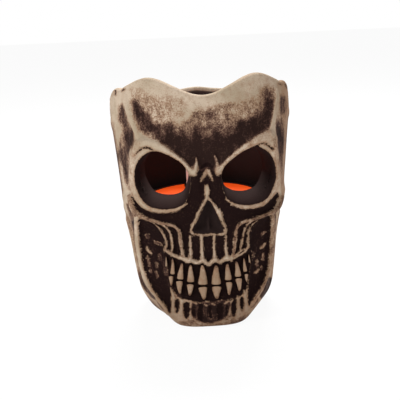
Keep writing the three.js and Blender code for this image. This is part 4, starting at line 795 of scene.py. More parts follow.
@dataclass(frozen=True)
class BroadRelief:
    """Wide forms of the face, mirrored left and right.

    The ridges' lines are in shares of the side reach and of the height. The patches give their middle and
    reach in the same shares, then how far they rise; the side hollow's sideways shares are of half a turn.
    """

    brow: Ridge = Ridge(((0.1, 0.667), (0.19, 0.691), (0.32, 0.734), (0.48, 0.762), (0.62, 0.756),
                         (0.7, 0.72)), 0.0030, 0.0055)
    temple: Ridge = Ridge(((0.768, 0.94), (0.714, 0.826), (0.694, 0.773), (0.69, 0.72)), 0.0012, 0.0045)
    cheek: Ridge = Ridge(((0.869, 0.512), (0.795, 0.469), (0.714, 0.449), (0.566, 0.444), (0.418, 0.439),
                          (0.323, 0.428), (0.283, 0.372), (0.27, 0.304)), 0.0018, 0.0046)
    jaw: Ridge = Ridge(((0.72, 0.43), (0.71, 0.304), (0.68, 0.203), (0.593, 0.133), (0.5, 0.087)),
                       0.0014, 0.0045)
    gum: Ridge = Ridge(((0.485, 0.353), (0.377, 0.324), (0.27, 0.306), (0.162, 0.285), (0, 0.276)),
                       0.0012, 0.004)
    patches: Points = ((0, 0.085, 0.24, 0.07, 0.0020), (0.575, 0.31, 0.12, 0.11, -0.0026),
                       (0, 0.215, 0.46, 0.07, -0.0010), (0, 0.63, 0.075, 0.06, -0.0016))
    side_hollow: Row = (0.36, 0.69, 0.09, 0.16, -0.0008)
    patch_edge: Pair = (0.55, 1.45)
    fade: Pair = (0, 0.3)

    def ridge(self, x: Array, z: Array, form: Ridge) -> Array:
        """Height of a ridge.

        Args:
            x: Distance from the middle.
            z: Height.
            form: The ridge.

        Returns:
            Its height at each place.
        """
        line = np.asarray(form.line) * (FORM.side_reach, FORM.height)
        gap = line_distance(np.stack([x, z], axis=-1), line, RIDGE_MARGIN)
        return form.rise * np.exp(-((gap / form.width) ** 2))

    def patch(self, x: Array, z: Array, form: Row, width: float) -> Array:
        """Height of a soft-edged oblong patch.

        Args:
            x: Distance from the middle.
            z: Height.
            form: Middle, reach and rise.
            width: What the sideways shares are of.

        Returns:
            Its height at each place.
        """
        middle, level, reach, half_height, rise = form
        across = np.abs(x - middle * width) / (reach * width)
        upward = np.abs(z - level * FORM.height) / (half_height * FORM.height)
        return rise * (1 - soft_step(np.hypot(across**2, upward**2) ** 0.5, *self.patch_edge))

    def front(self, angle: Array, z: Array) -> Array:
        """Height of the broad forms of the face at each place.

        Args:
            angle: Turn from the middle of the face.
            z: Height.

        Returns:
            The height, which fades out towards the sides.
        """
        x = np.abs(np.sin(angle)) * FORM.plain_radius(angle, z)
        height = np.zeros_like(x)
        for form in (self.brow, self.temple, self.cheek, self.jaw, self.gum):
            height += self.ridge(x, z, form)
        for form in self.patches:
            height += self.patch(x, z, form, FORM.side_reach)
        height += self.patch(np.abs(angle) / math.pi, z, self.side_hollow, 1)
        return height * soft_step(np.cos(angle), *self.fade)


BROAD = BroadRelief()


@dataclass(frozen=True)
class Dip:
    """A round hollow of the side: its turn and height, how both count, its depth and its brown paint."""

    place: Pair
    scale: Pair
    depth: float
    edge: Pair
    wash: float
    wash_edge: Pair

    def gap(self, turn: Array, z: Array) -> Array:
        """Distance to its middle."""
        return np.hypot((turn - self.place[0]) * self.scale[0], (z - self.place[1]) * self.scale[1])


@dataclass(frozen=True)
class SidePaint:
    """Features of the temples, sides and back, laid out by turn and height."""

    radius: float = 0.07
    crack: Points = ((3.14, 0.168), (3.02, 0.160), (3.2, 0.151), (3.05, 0.143), (3.19, 0.134), (3.08, 0.126),
                     (3.2, 0.118), (3.1, 0.11))
    nape: Ridge = Ridge(((2.05, 0.066), (2.2, 0.076), (2.34, 0.084), (2.48, 0.09), (2.62, 0.097),
                         (2.78, 0.1), (2.94, 0.108), (3.1416, 0.11)), 0.0010, 0.006)
    arch: Ridge = Ridge(((1.02, 0.0985), (1.2, 0.0975), (1.38, 0.0962), (1.52, 0.0935), (1.62, 0.0905)),
                        0.0008, 0.0042)
    temple_line: Ridge = Ridge(((0.92, 0.176), (1.1, 0.184), (1.35, 0.172), (1.6, 0.163), (1.9, 0.155),
                                (2.15, 0.14), (2.28, 0.12), (2.24, 0.1)), 0.0006, 0.003)
    mastoid: Ridge = Ridge(((1.92, 0.084), (1.94, 0.07), (1.88, 0.055), (1.82, 0.046)), 0.0020, 0.0065)
    jaw_edge: Ridge = Ridge(((1.5, 0.083), (1.5, 0.066), (1.42, 0.046), (1.28, 0.03), (1.06, 0.018)),
                            0.0016, 0.0045)
    ear: Dip = Dip((1.74, 0.083), (0.07, 0.85), 0.0028, (0.001, 0.0062), 0.95, (0.003, 0.009))
    below_arch: Dip = Dip((1.3, 0.072), (0.07, 0.6), 0.0022, (0.004, 0.016), 0.74, (0.006, 0.019))
    fossa: Dip = Dip((1.42, 0.132), (0.05, 0.62), 0.0006, (0.006, 0.026), 0.6, (0.01, 0.034))
    suture_cut: Pair = (0.0007, 0.0008)
    suture_wave: Pair = (0.0004, 90)
    suture_wash: Pair = (0.8, 0.0022)
    dark_width: float = 0.0010
    ear_dark: float = 0.0022
    mastoid_wash: Row = (0.5, 0.009, 0.004, 0.09)
    foot_wash: Row = (0.55, 0.004, 0.022)
    edge_turn: Pair = (1.52, 0.11)
    edge_levels: Pair = (0.07, 0.1)
    edge_wash_and_shade: Pair = (0.5, 0.2)
    lean_right: Row = (1.45, 0.34, 0.0020)
    right_levels: Row = (0.012, 0.036, 0.088, 0.106)
    lean_left: Row = (-1.08, 0.42, 0.0022)
    left_levels: Pair = (0.014, 0.034)

    def lean(self, angle: Array, z: Array) -> Array:
        """How far the jaw's two sides lie in, which is not quite the same left and right.

        Args:
            angle: Turn from the middle of the face.
            z: Height.

        Returns:
            The distance inwards.
        """
        right, left = (np.exp(-(((wrapped(angle) - turn) / width) ** 2))
                       for turn, width, _ in (self.lean_right, self.lean_left))
        right = right * soft_step(z, *self.right_levels[:2])
        left = left * (1 - soft_step(z, *self.left_levels))
        right = self.lean_right[2] * right * (1 - soft_step(z, *self.right_levels[2:]))
        return right + self.lean_left[2] * left

    def layers(self, angle: Array, z: Array) -> dict[str, Array]:
        """Height and paint at places round the shell.

        Args:
            angle: Turn from the middle of the face.
            z: Height.

        Returns:
            The same three layers as the face's paint.
        """
        turn = np.abs(wrapped(angle))
        place = np.stack([turn * self.radius, z], axis=-1)

        def gap(line: Points) -> Array:
            """Distance to a line of turns and heights, in metres."""
            fine = rounded(np.asarray(line) * (self.radius, 1.0), 4, False)
            return line_distance(place, fine, RIDGE_MARGIN)

        rise, wash = np.zeros_like(turn), np.zeros_like(turn)
        for form in (self.arch, self.temple_line, self.mastoid, self.jaw_edge, self.nape):
            rise += form.rise * np.exp(-((gap(form.line) / form.width) ** 2))
        wave, waves = self.suture_wave
        suture = np.minimum(gap(self.crack), gap(self.nape.line) + wave * np.sin(turn * waves))
        depth, width = self.suture_cut
        rise -= depth * np.exp(-((suture / width) ** 2))
        for dip in (self.ear, self.below_arch, self.fossa):
            away = dip.gap(turn, z)
            rise -= dip.depth * (1 - soft_step(away, *dip.edge))
            wash = np.maximum(wash, dip.wash * (1 - soft_step(away, *dip.wash_edge)))
        most, width = self.suture_wash
        wash = np.maximum(wash, most * np.exp(-((suture / width) ** 2)))
        most, away, width, top = self.mastoid_wash
        hollow = np.exp(-(((gap(self.mastoid.line) - away) / width) ** 2))
        wash = np.maximum(wash, most * hollow * (z < top))
        most, low, high = self.foot_wash
        wash = np.maximum(wash, most * (1 - soft_step(z, low, high)))
        # Brown wash in a band down each side, a quarter turn from the face, stronger on the right: partly
        # painted shade on the side away from the key lamp
        edge = np.exp(-(((turn - self.edge_turn[0]) / self.edge_turn[1]) ** 2))
        wash = wash + edge * soft_step(z, *self.edge_levels) * np.where(np.sin(angle) > 0, *self.edge_wash_and_shade)
        dark = self.dark_width - np.minimum(suture, self.ear.gap(turn, z) - self.ear_dark)
        return {"rise": rise, "ink": np.clip(dark / UNIT, -PAINT.ink_reach, PAINT.ink_reach), "wash": wash}


SIDES = SidePaint()
BARE, DARK = -PAINT.ink_reach, PAINT.ink_reach

# Turns between which the face gives way to the sides, and where it ends
RELIEF_TURNS = (1.06, 1.32)
INK_TURNS = (1.38, 1.5)
WASH_TURNS = (1.22, 1.42)
FACE_END = 1.52
RELIEF_ROUNDS = 3
RELIEF_END, RELIEF_FADE = 1.4, 0.12

# How the bone browns and darkens: heights of the band at the foot, painted shade there; then strength and
# reach sideways of the painted shade on the right side, away from the key lamp
FOOT_BAND = (0.002, 0.075)
SHADED_SIDE_BANDS = ((0.35, 0, 0.05), (0.8, 0.056, 0.07))
LEAST_BROWN, FOOT_BROWN_AND_SHADE, SHADED_SIDE_LOST = 0.1, 0.6, 0.7


def outer_surface(angle: Array, z: Array) -> tuple[Array, dict]:
    """The shell's outer surface, with its relief and its paint.

    Args:
        angle: Turn from the middle of the face.
        z: Height.

    Returns:
        Points in space and the paint layers.
    """
    turn = np.abs(wrapped(angle))
    plain = FORM.plain_radius(angle, z) + BROAD.front(angle, z) - SIDES.lean(angle, z)
    side = SIDES.layers(angle, z)
    mix, paint_mix = soft_step(turn, *RELIEF_TURNS), soft_step(turn, *INK_TURNS)
    rise = np.zeros_like(plain)
    ahead = np.flatnonzero(turn < FACE_END)
    fade = soft_step(RELIEF_END - turn[ahead], 0, RELIEF_FADE)
    layers = {}
    for _ in range(RELIEF_ROUNDS):
        points = around(plain[ahead] + rise[ahead], angle[ahead], z[ahead])
        found = PAINT.layers(VIEW.project(points))
        rise[ahead] = found["rise"] * (1 - mix[ahead]) * fade
    for key, share, own in (("rise", mix, mix), ("ink", paint_mix, paint_mix),
                            ("wash", paint_mix, soft_step(turn, *WASH_TURNS))):
        full = np.full_like(plain, BARE if key == "ink" else 0.0)
        full[ahead] = found[key]
        layers[key] = full * (1 - share) + side[key] * own
    return around(plain + layers["rise"], angle, z), layers


def make_mesh(name: str, points: Array, faces: list, layers: dict[str, Array] | None = None,
              smooth: bool = True) -> Piece:
    """Build an object from points and faces.

    Args:
        name: Name of the piece.
        points: Its points.
        faces: Corners of its faces.
        layers: Values per point, kept as attributes.
        smooth: Whether its faces are shaded smooth.

    Returns:
        The new object.
    """
    mesh = bpy.data.meshes.new(name)
    mesh.from_pydata(np.asarray(points, float).tolist(), [], faces)
    mesh.validate()
    mesh.polygons.foreach_set("use_smooth", np.full(len(mesh.polygons), smooth))
    for key, values in (layers or {}).items():
        layer = mesh.attributes.new(key, "FLOAT", "POINT")
        layer.data.foreach_set("value", np.asarray(values, np.float32))
    piece = bpy.data.objects.new(name, mesh)
    bpy.context.collection.objects.link(piece)
    mesh.update()
    return piece


def ring_faces(last: Sequence[int], here: Sequence[int]) -> list[tuple[int, ...]]:
    """Faces between two closed rings with the same count."""
    return [(last[k], last[m], here[m], here[k]) for k, m in enumerate([*range(1, len(last)), 0])]


def zip_chains(first: list[int], second: list[int], first_at: Sequence[float],
               second_at: Sequence[float]) -> list[tuple[int, int, int]]:
    """Triangles between two chains of points with different counts.

    Args:
        first: Points of one chain.
        second: Points of the other.
        first_at: Rising place of each point of the first.
        second_at: Rising place of each point of the second.

    Returns:
        The triangles.
    """
    faces, i, j = [], 0, 0
    while i < len(first) - 1 or j < len(second) - 1:
        ahead = i < len(first) - 1 and (j == len(second) - 1 or first_at[i + 1] <= second_at[j + 1])
        if ahead:
            faces.append((first[i], first[i + 1], second[j]))
            i += 1
        else:
            faces.append((first[i], second[j + 1], second[j]))
            j += 1
    return faces


def hole_loops(faces: Array, gone: Array) -> list[int]:
    """The closed chain of points round a hole.

    Args:
        faces: All four-cornered faces of a grid.
        gone: Which of them are taken out.

    Returns:
        Points of the chain in order.
    """
    forward = {(int(a), int(b)) for face in faces[gone] for a, b in zip(face, np.roll(face, -1))}
    edges = {a: b for a, b in forward if (b, a) not in forward}
    start = next(iter(edges))
    chain, here = [start], edges[start]
    while here != start:
        chain.append(here)
        here = edges[here]
    return chain


def brown_and_shade_of(points: Array) -> Array:
    """How browned and darkened the bone is: a brown tint, with painted shade at the foot and on the right
    side, away from the key lamp; least at the rim.

    Args:
        points: Points in space.

    Returns:
        One value per point, which the bone's colour is mixed by.
    """
    low = soft_step(-points[:, 2], -FOOT_BAND[1], -FOOT_BAND[0])
    shaded_side = sum(most * soft_step(points[:, 0], start, end) for most, start, end in SHADED_SIDE_BANDS)
    return LEAST_BROWN + FOOT_BROWN_AND_SHADE * low + shaded_side * (1 - SHADED_SIDE_LOST * low)


# Rings of the rolled rim and of the foot: share of the way inwards, and how far out of the plane
RIM_RINGS = ((0.12, 0.62), (0.3, 0.93), (0.5, 1.0), (0.7, 0.93), (0.88, 0.62))
FOOT_RINGS = ((0.12, 0.7), (0.3, 1.0), (0.85, 1.0))
FOOT_WASH = 0.4
LIP_DARK = (0.0, 0.0, 0.9)


@dataclass
class ShellBuilder:
    """Grows one half of the shell as a closed skin of columns."""

    front: bool
    cell: float
    side_cell: float
    fine_reach: float = math.radians(58)
    back_arc: float = 0.245
    face_radius: float = 0.069
    side_radius: float = 0.074
    middle_level: float = 0.1
    rim_level: float = 0.19
    foot_edge: float = 0.0008
    band_from: float = 0.168
    band_height: float = 0.036
    band_cell: float = 0.0009
    inner_top: float = 0.165
    inner_steps: tuple[int, int, int] = (10, 17, 7)
    inner_lip: Pair = (0.0009, 0.0019)
    inner_rows: int = 0
    points: list = field(default_factory=list)
    faces: list = field(default_factory=list)
    inner_points: Array | None = None
    layers: dict = field(default_factory=lambda: {"ink": [], "wash": [], "inside": []})

    def shares(self) -> Array:
        """Places of the columns.

        Returns:
            Shares from 0 at one seam to 1 at the other.
        """
        if not self.front:
            return np.linspace(0, 1, int(self.back_arc / self.cell) + 1)
        edge = float(FORM.seam_angle(np.array(self.middle_level), True))
        dense = int(self.fine_reach * self.face_radius * 2 / self.cell)
        sparse = int((edge - self.fine_reach) * self.side_radius / self.side_cell)
        inner = np.linspace(-self.fine_reach, self.fine_reach, dense + 1)
        outer = np.linspace(self.fine_reach, edge, sparse + 1)[1:]
        turns = np.concatenate([-outer[::-1], inner, outer])
        return (turns / edge + 1) / 2

    def turn(self, share: Array, z: Array) -> Array:
        """Turn of a column at a height.

        Args:
            share: Column's place from seam to seam.
            z: Height.

        Returns:
            Turn from the middle of the face.
        """
        edge = FORM.seam_angle(z, self.front)
        if self.front:
            return (share * 2 - 1) * edge
        return edge + share * (2 * math.pi - 2 * edge)

    def levels(self) -> tuple[Array, Array]:
        """Row heights below the upper band, and row shares within it."""
        low = np.arange(FORM.foot + self.foot_edge, self.band_from, self.cell)
        return low, np.linspace(0, 1, int(self.band_height / max(self.cell, self.band_cell)) + 1)

    def top(self, share: Array) -> Array:
        """Height of a column just under the rim's rolled lip."""
        return FORM.rim(self.turn(share, np.full(np.shape(share), self.rim_level))) - FORM.lip

    def add(self, points: Array, ink: Array | float, wash: Array | float,
            inside: Array | float) -> int:
        """Add points and their paint.

        Args:
            points: Points in space.
            ink: Dark paint's signed distance.
            wash: Brown paint's density.
            inside: 1 on the dark inner faces.

        Returns:
            Index of the first one.
        """
        start = sum(len(block) for block in self.points)
        self.points.append(np.asarray(points, float).reshape(-1, 3))
        size = len(self.points[-1])
        for key, value in (("ink", ink), ("wash", wash), ("inside", inside)):
            self.layers[key].append(np.broadcast_to(np.asarray(value, float), (size,)))
        return start

    def add_faces(self, faces: Array) -> None:
        """Add four-cornered faces."""
        self.faces += list(map(tuple, faces.tolist()))

    def add_rings(self, chain: list[int], rings: list[tuple[Array, float]]) -> list[int]:
        """Add dark rings of points, each joined to the one before.

        Args:
            chain: The rim's points in order.
            rings: Each ring's points with how far inside it is.

        Returns:
            Points of the last ring.
        """
        last = chain
        for ring, deep in rings:
            first = self.add(ring, DARK, 0.0, deep)
            here = list(range(first, first + len(chain)))
            self.faces += ring_faces(last, here)
            last = here
        return last

    def mesh(self, name: str) -> Piece:
        """Make an object of the finished skin.

        Args:
            name: Name of the piece.

        Returns:
            The object, with its paint.
        """
        every = np.concatenate(self.points)
        values = {key: np.concatenate(blocks) for key, blocks in self.layers.items()}
        return make_mesh(name, every, self.faces, {**values, "age": brown_and_shade_of(every)})

    def place(self, share: Array, row: Array) -> tuple[Array, Array]:
        """Turn and height of a place given by column share and row.

        Args:
            share: Column's place.
            row: Row, which may lie between two rows.

        Returns:
            Turn and height.
        """
        low, high = self.levels()
        count = len(low)
        z_low = low[0] + np.minimum(row, count - 1) * self.cell
        part = np.clip((row - (count - 1)) / (len(high) - 1), 0, 1)
        z = z_low + (self.top(share) - low[-1]) * part
        return self.turn(share, z), z

    def grid(self) -> tuple[Array, Array, int, int]:
        """Lay out the outer skin's points.

        Returns:
            Column share and row of each point, then how many rows and columns there are.
        """
        shares = self.shares()
        low, high = self.levels()
        rows = np.arange(len(low) + len(high) - 1, dtype=float)
        row_grid, share_grid = np.meshgrid(rows, shares, indexing="ij")
        return share_grid.ravel(), row_grid.ravel(), len(rows), len(shares)

    def finish_edges(self, outer: Array, outer_start: int, inner_start: int, rows: int,
                     columns: int) -> None:
        """Close the rim, the foot and both seams.

        Args:
            outer: Points of the outer skin.
            outer_start: Index of its first point.
            inner_start: Index of the inner skin's first point.
            rows: Rows of the outer skin.
            columns: Columns of both skins.
        """
        top = outer[-columns:]
        bottom = outer[:columns]
        inner_top = self.inner_points[:columns]
        inner_bottom = self.inner_points[-columns:]

        def strip(first: int, second: int) -> None:
            """Faces between two rows of points."""
            for k in range(columns - 1):
                self.faces.append((first + k, first + k + 1, second + k + 1, second + k))

        last = outer_start + (rows - 1) * columns
        flat = np.array([1, 1, 0])
        for share, lift in RIM_RINGS:
            ring = top + (inner_top - top) * share
            ring = ring * flat + np.array([0, 0, 1]) * (top[:, 2:] + FORM.lip * lift)
            band = self.add(ring, BARE, 0.0, 0.0)
            strip(last, band)
            last = band
        strip(last, inner_start)
        first = outer_start
        for share, drop in FOOT_RINGS:
            ring = bottom + (inner_bottom - bottom) * share
            ring = ring * flat + np.array([0, 0, 1]) * (bottom[:, 2:] - self.foot_edge * drop)
            band = self.add(ring, BARE, FOOT_WASH, 0.0)
            strip(band, first)
            first = band
        strip(inner_start + self.inner_rows * columns, first)
        outer_at = outer[:, 2].reshape(rows, columns)
        inner_at = self.inner_points[:, 2].reshape(self.inner_rows + 1, columns)[::-1]
        for column in (0, columns - 1):
            chain = [outer_start + row * columns + column for row in range(rows)]
            back = [inner_start + row * columns + column for row in range(self.inner_rows, -1, -1)]
            found = zip_chains(chain, back, outer_at[:, column], inner_at[:, column])
            self.faces += found if column else [face[::-1] for face in found]

    def inner_skin(self, shares: Array) -> int:
        """Add the inner wall's points.

        Args:
            shares: Places of the columns.

        Returns:
            Index of the first point.
        """
        top = self.top(shares)
        high_rows, middle_rows, low_rows = self.inner_steps
        middle = np.linspace(self.inner_top, self.middle_level, middle_rows)
        below = np.linspace(self.middle_level, FORM.foot + self.foot_edge, low_rows)[1:]
        upper = top - self.inner_lip[1]
        heights = [top, top - self.inner_lip[0]]
        heights += [upper + (self.inner_top - upper) * (k / high_rows) for k in range(high_rows)]
        heights += [np.full(len(shares), z) for z in np.concatenate([middle, below])]
        rows = []
        for z in heights:
            angle = self.turn(shares, z)
            rows.append(around(FORM.inner_radius(angle, z), angle, z))
        self.inner_rows = len(rows) - 1
        self.inner_points = np.concatenate(rows)
        inside = np.ones(len(self.inner_points))
        inside[:len(shares) * len(LIP_DARK)] = np.repeat(LIP_DARK, len(shares))
        return self.add(self.inner_points, BARE, 0.0, inside)


def grid_faces(rows: int, columns: int, start: int = 0) -> Array:
    """Four-cornered faces of a grid of points.

    Args:
        rows: Rows of points.
        columns: Points per row.
        start: Index of the first point.

    Returns:
        One row of four indices per face.
    """
    base = (start + np.arange(rows - 1)[:, None] * columns + np.arange(columns - 1)[None, :]).ravel()
    return np.stack([base, base + 1, base + columns + 1, base + columns], axis=-1)


@dataclass
class EyeSocket:
    """A tapered eye socket that runs through the face's wall."""

    side: int
    outline: Array
    offset: float = 0.0326
    level: float = 0.128
    half_width: float = 0.0206
    half_height: float = 0.0238
    depth: float = 0.022
    inner_half_width: float = 0.0164
    inner_half_height: float = 0.0194
    inner_inset: float = 0.0034
    inner_lift: float = 0.002
    foot_spread: float = 1.06
    foot_margin: float = 2.0
    steps: Points = ((0.09, 0.02), (0.17, 0.055), (0.24, 0.1), (0.3, 0.15), (0.37, 0.22), (0.45, 0.31),
                     (0.54, 0.41), (0.63, 0.51), (0.72, 0.62), (0.81, 0.73), (0.89, 0.84), (0.95, 0.93),
                     (1.0, 1.0))
    shade: float = 0.25
    rolled: Points = ((0.0007, 0.0008), (0.0019, 0.0008), (0.0026, 0.0))

    def shares(self, points: Array) -> Array:
        """Places of rim points as shares of the socket's half sizes."""
        return np.stack([(points[:, 0] - self.side * self.offset) / self.half_width,
                         (points[:, 2] - self.level) / self.half_height], axis=-1)

    def inner_rim(self, rim: Array, wall: float) -> Array:
        """Points of the inner opening that face the rim's points.

        Args:
            rim: Points of the rim.
            wall: How far outside the opening.

        Returns:
            Points at the funnel's inner end.
        """
        share = self.shares(rim)
        width, height = self.inner_half_width + wall, self.inner_half_height + wall
        across = self.side * (self.offset - self.inner_inset) + share[:, 0] * width
        upward = self.level + self.inner_lift + share[:, 1] * height
        return np.stack([across, rim[:, 1] + self.depth, upward], axis=-1)

    def funnel(self, rim: Array) -> list[tuple[Array, float]]:
        """Rings from the rim through the socket to the back of its wall.

        Args:
            rim: Points of the rim on the face.

        Returns:
            Each ring's points with how far inside it is.
        """
        end = self.inner_rim(rim, 0.0)
        rings = []
        for share, deep in self.steps:
            ring = rim + (end - rim) * share
            ring[:, 1] = rim[:, 1] + (end - rim)[:, 1] * deep
            rings.append((ring, min(1.0, self.shade + deep)))
        for wall, back in self.rolled:
            ring = self.inner_rim(rim, wall)
            ring[:, 1] += back
            rings.append((ring, 1.0))
        return rings

    def outer_wall(self, points: Array) -> Array:
        """Tell how far places of the inner wall are from the funnel's foot.

        Args:
            points: Places of the inner wall.

        Returns:
            Signed distance in the socket's half sizes, negative inside.
        """
        line = self.outline
        middle = line.mean(axis=0)
        reach = np.abs(line - middle).max(axis=0)
        foot = (line - middle) / reach * (self.foot_spread, -self.foot_spread)
        return outline_distance(self.shares(points), foot, self.foot_margin)


@dataclass
class NoseHollow:
    """The nose's pocket, with a low ridge down its middle."""

    depth: float = 0.008
    shade: float = 0.6
    sag: float = 0.0012
    steps: Points = ((0.95, 0.06), (0.9, 0.18), (0.86, 0.34), (0.8, 0.54), (0.73, 0.76), (0.66, 0.92),
                     (0.56, 1.0), (0.42, 1.0), (0.28, 1.0), (0.14, 1.0), (0.05, 1.0))
    ridge_rise: float = 0.0034
    ridge_width: float = 0.0016
    ridge_top: Pair = (0.004, 0.006)
    ridge_start: Pair = (0.3, 1)

    def rings(self, rim: Array) -> list[Array]:
        """Rings from the rim to the middle of the floor.

        Args:
            rim: Points of the rim on the face.

        Returns:
            Each ring's points.
        """
        middle = rim.mean(axis=0)
        middle[2] -= self.sag
        above, fade = self.ridge_top
        found = []
        for share, deep in self.steps:
            ring = middle + (rim - middle) * share
            floor = middle[1] + self.depth
            ring[:, 1] = rim[:, 1] + (floor - rim[:, 1]) * deep
            ridge = np.exp(-((ring[:, 0] - middle[0]) / self.ridge_width) ** 2)
            ridge = ridge * soft_step(np.full(len(ring), deep), *self.ridge_start)
            ring[:, 1] -= self.ridge_rise * ridge * soft_step(middle[2] + above - ring[:, 2], 0, fade)
            found.append(ring)
        return found


OPENING_END = 1.3
FACE_BACK = -0.02


@dataclass
class FaceShell:
    """The front half of the shell: face, sockets, nose hollow and teeth bed."""

    cell: float = 0.00068
    side_cell: float = 0.0011
    sockets: tuple[EyeSocket, EyeSocket] = (EyeSocket(-1, LEFT_SOCKET), EyeSocket(1, RIGHT_SOCKET))
    nose: NoseHollow = field(default_factory=NoseHollow)
    snap_rounds: int = 4
    column_step: float = 0.001
    row_step: float = 0.4
    column_weight: float = 300
    least_slope: float = 0.05
    most_columns: float = 0.006
    most_rows: float = 1.6

    def _snap(self, builder: ShellBuilder, share: Array, row: Array,
              outline: Array) -> tuple[Array, Array]:
        """Move places of the skin onto an outline of the front view.

        Args:
            builder: The skin.
            share: Column places.
            row: Row places.
            outline: The outline.

        Returns:
            Moved column and row places.
        """
        def gap(share_at: Array, row_at: Array) -> Array:
            """Signed distance of skin places to the outline."""
            points, _ = outer_surface(*builder.place(share_at, row_at))
            return outline_distance(VIEW.project(points), outline)

        weight = self.column_weight
        for _ in range(self.snap_rounds):
            here = gap(share, row)
            across = (gap(share + self.column_step, row) - here) / self.column_step
            upward = (gap(share, row + self.row_step) - here) / self.row_step
            size = np.maximum((across / weight) ** 2 + upward**2, self.least_slope)
            share = share - np.clip(here * across / weight**2 / size, -self.most_columns, self.most_columns)
            row = row - np.clip(here * upward / size, -self.most_rows, self.most_rows)
        return share, row

    def build(self) -> Piece:
        """Build the face as one closed piece.

        Returns:
            The face's object.
        """
        builder = ShellBuilder(True, self.cell, self.side_cell)
        share, row, rows, columns = builder.grid()
        points, layers = outer_surface(*builder.place(share, row))
        uv = VIEW.project(points)
        faces = grid_faces(rows, columns)
        middles = uv[faces].mean(axis=1)
        turn = np.abs(builder.place(share, row)[0])[faces].max(axis=1)
        holes = []
        for outline in OPENINGS:
            gone = (outline_distance(middles, outline) < 0) & (turn < OPENING_END)
            holes.append((gone, hole_loops(faces, gone)))
        for outline, (_, chain) in zip(OPENINGS, holes):
            index = np.array(chain)
            share[index], row[index] = self._snap(builder, share[index], row[index], outline)
        moved = np.concatenate([np.array(chain) for _, chain in holes])
        points[moved], fresh = outer_surface(*builder.place(share[moved], row[moved]))
        for key in layers:
            layers[key][moved] = fresh[key]
        layers["ink"][moved] = 0.0
        start = builder.add(points, layers["ink"], layers["wash"], 0.0)
        builder.add_faces(faces[~np.any([gone for gone, _ in holes], axis=0)])
        inner_start = builder.inner_skin(builder.shares())
        inner = grid_faces(builder.inner_rows + 1, columns, inner_start)
        inner_middles = builder.inner_points[inner - inner_start].mean(axis=1)
        inner_gone = np.zeros(len(inner), bool)
        ends = []
        for socket, (_, chain) in zip(self.sockets, holes):
            inside = (socket.outer_wall(inner_middles) < 0) & (inner_middles[:, 1] < FACE_BACK)
            ends.append((socket, chain, hole_loops(inner, inside)))
            inner_gone |= inside
        builder.add_faces(inner[~inner_gone])
        for socket, chain, inner_chain in ends:
            self._line_socket(builder, socket, points, chain, inner_chain)
        chain = holes[-1][1]
        floor = [(ring, self.nose.shade) for ring in self.nose.rings(points[np.array(chain)])]
        builder.faces.append(tuple(builder.add_rings(chain, floor)))
        builder.finish_edges(points, start, inner_start, rows, columns)
        return builder.mesh("face_mask")

    def _line_socket(self, builder: ShellBuilder, socket: EyeSocket, points: Array, chain: list[int],
                     inner_chain: list[int]) -> None:
        """Add a socket's rings and join its back to the inner wall.

        Args:
            builder: The skin.
            socket: The socket.
            points: Points of the outer skin.
            chain: The rim's points in order.
            inner_chain: Points round its hole in the inner wall.
        """
        last = builder.add_rings(chain, socket.funnel(points[np.array(chain)]))
        every = np.concatenate(builder.points)

        def ordered(indices: list[int]) -> tuple[list[int], list[float]]:
            """Put points in order round the socket.

            Args:
                indices: The points.

            Returns:
                The points in order, closed, with their turns.
            """
            share = socket.shares(every[np.array(indices)])
            angle = np.arctan2(share[:, 1], share[:, 0])
            order = np.argsort(angle)
            turns = [float(angle[k]) for k in order]
            return [indices[k] for k in (*order, order[0])], turns + [turns[0] + 2 * math.pi]

        ring, ring_at = ordered(last)
        hole, hole_at = ordered(inner_chain)
        builder.faces += [face[::-1] for face in zip_chains(ring, hole, ring_at, hole_at)]


@dataclass
class RearShell:
    """The back half of the shell."""

    cell: float = 0.0013

    def build(self) -> Piece:
        """Build the back as one closed piece.

        Returns:
            The back's object.
        """
        builder = ShellBuilder(False, self.cell, self.cell)
        share, row, rows, columns = builder.grid()
        points, layers = outer_surface(*builder.place(share, row))
        start = builder.add(points, layers["ink"], layers["wash"], 0.0)
        builder.add_faces(grid_faces(rows, columns))
        inner_start = builder.inner_skin(builder.shares())
        builder.add_faces(grid_faces(builder.inner_rows + 1, columns, inner_start))
        builder.finish_edges(points, start, inner_start, rows, columns)
        return builder.mesh("skull_back")


# Teeth

MOUTH_RADIUS = 0.066
MOUTH_START = (0.09, 205)
MOST_SINE = 0.95
SMALL_TURN, SMALL_RISE = 1e-3, 1e-4
MOST_TURN, MOST_RISE = 0.1, 0.01
FACE_ROUNDS = 8


def smooth_surface(angle: Array, z: Array, stand: Array | float) -> Array:
    """Points at a distance outside the face's broad form."""
    return around(FORM.plain_radius(angle, z) + BROAD.front(angle, z) + stand, angle, z)


def on_face(uv: Array, stand: Array) -> Array:
    """Points that show at places of the front view, at a distance off the broad form.

    Args:
        uv: Places in the view.
        stand: Distance outside the form.

    Returns:
        Points in space.
    """
    angle = np.arcsin(np.clip((uv[:, 0] - VIEW.middle[0]) * UNIT / MOUTH_RADIUS, -MOST_SINE, MOST_SINE))
    z = MOUTH_START[0] - (uv[:, 1] - MOUTH_START[1]) * UNIT
    for _ in range(FACE_ROUNDS):
        here = VIEW.project(smooth_surface(angle, z, stand))
        across = (VIEW.project(smooth_surface(angle + SMALL_TURN, z, stand)) - here) / SMALL_TURN
        upward = (VIEW.project(smooth_surface(angle, z + SMALL_RISE, stand)) - here) / SMALL_RISE
        (a, b), (c, d), (e, f) = across.T, upward.T, (uv - here).T
        whole = a * d - b * c
        angle = angle + np.clip((e * d - f * c) / whole, -MOST_TURN, MOST_TURN)
        z = z + np.clip((a * f - b * e) / whole, -MOST_RISE, MOST_RISE)
    return smooth_surface(angle, z, stand)


@dataclass(frozen=True)
class Tooth:
    """One tooth: its neck, its biting edge and its width there, in the front view."""

    neck: Pair
    edge: Pair
    width: float


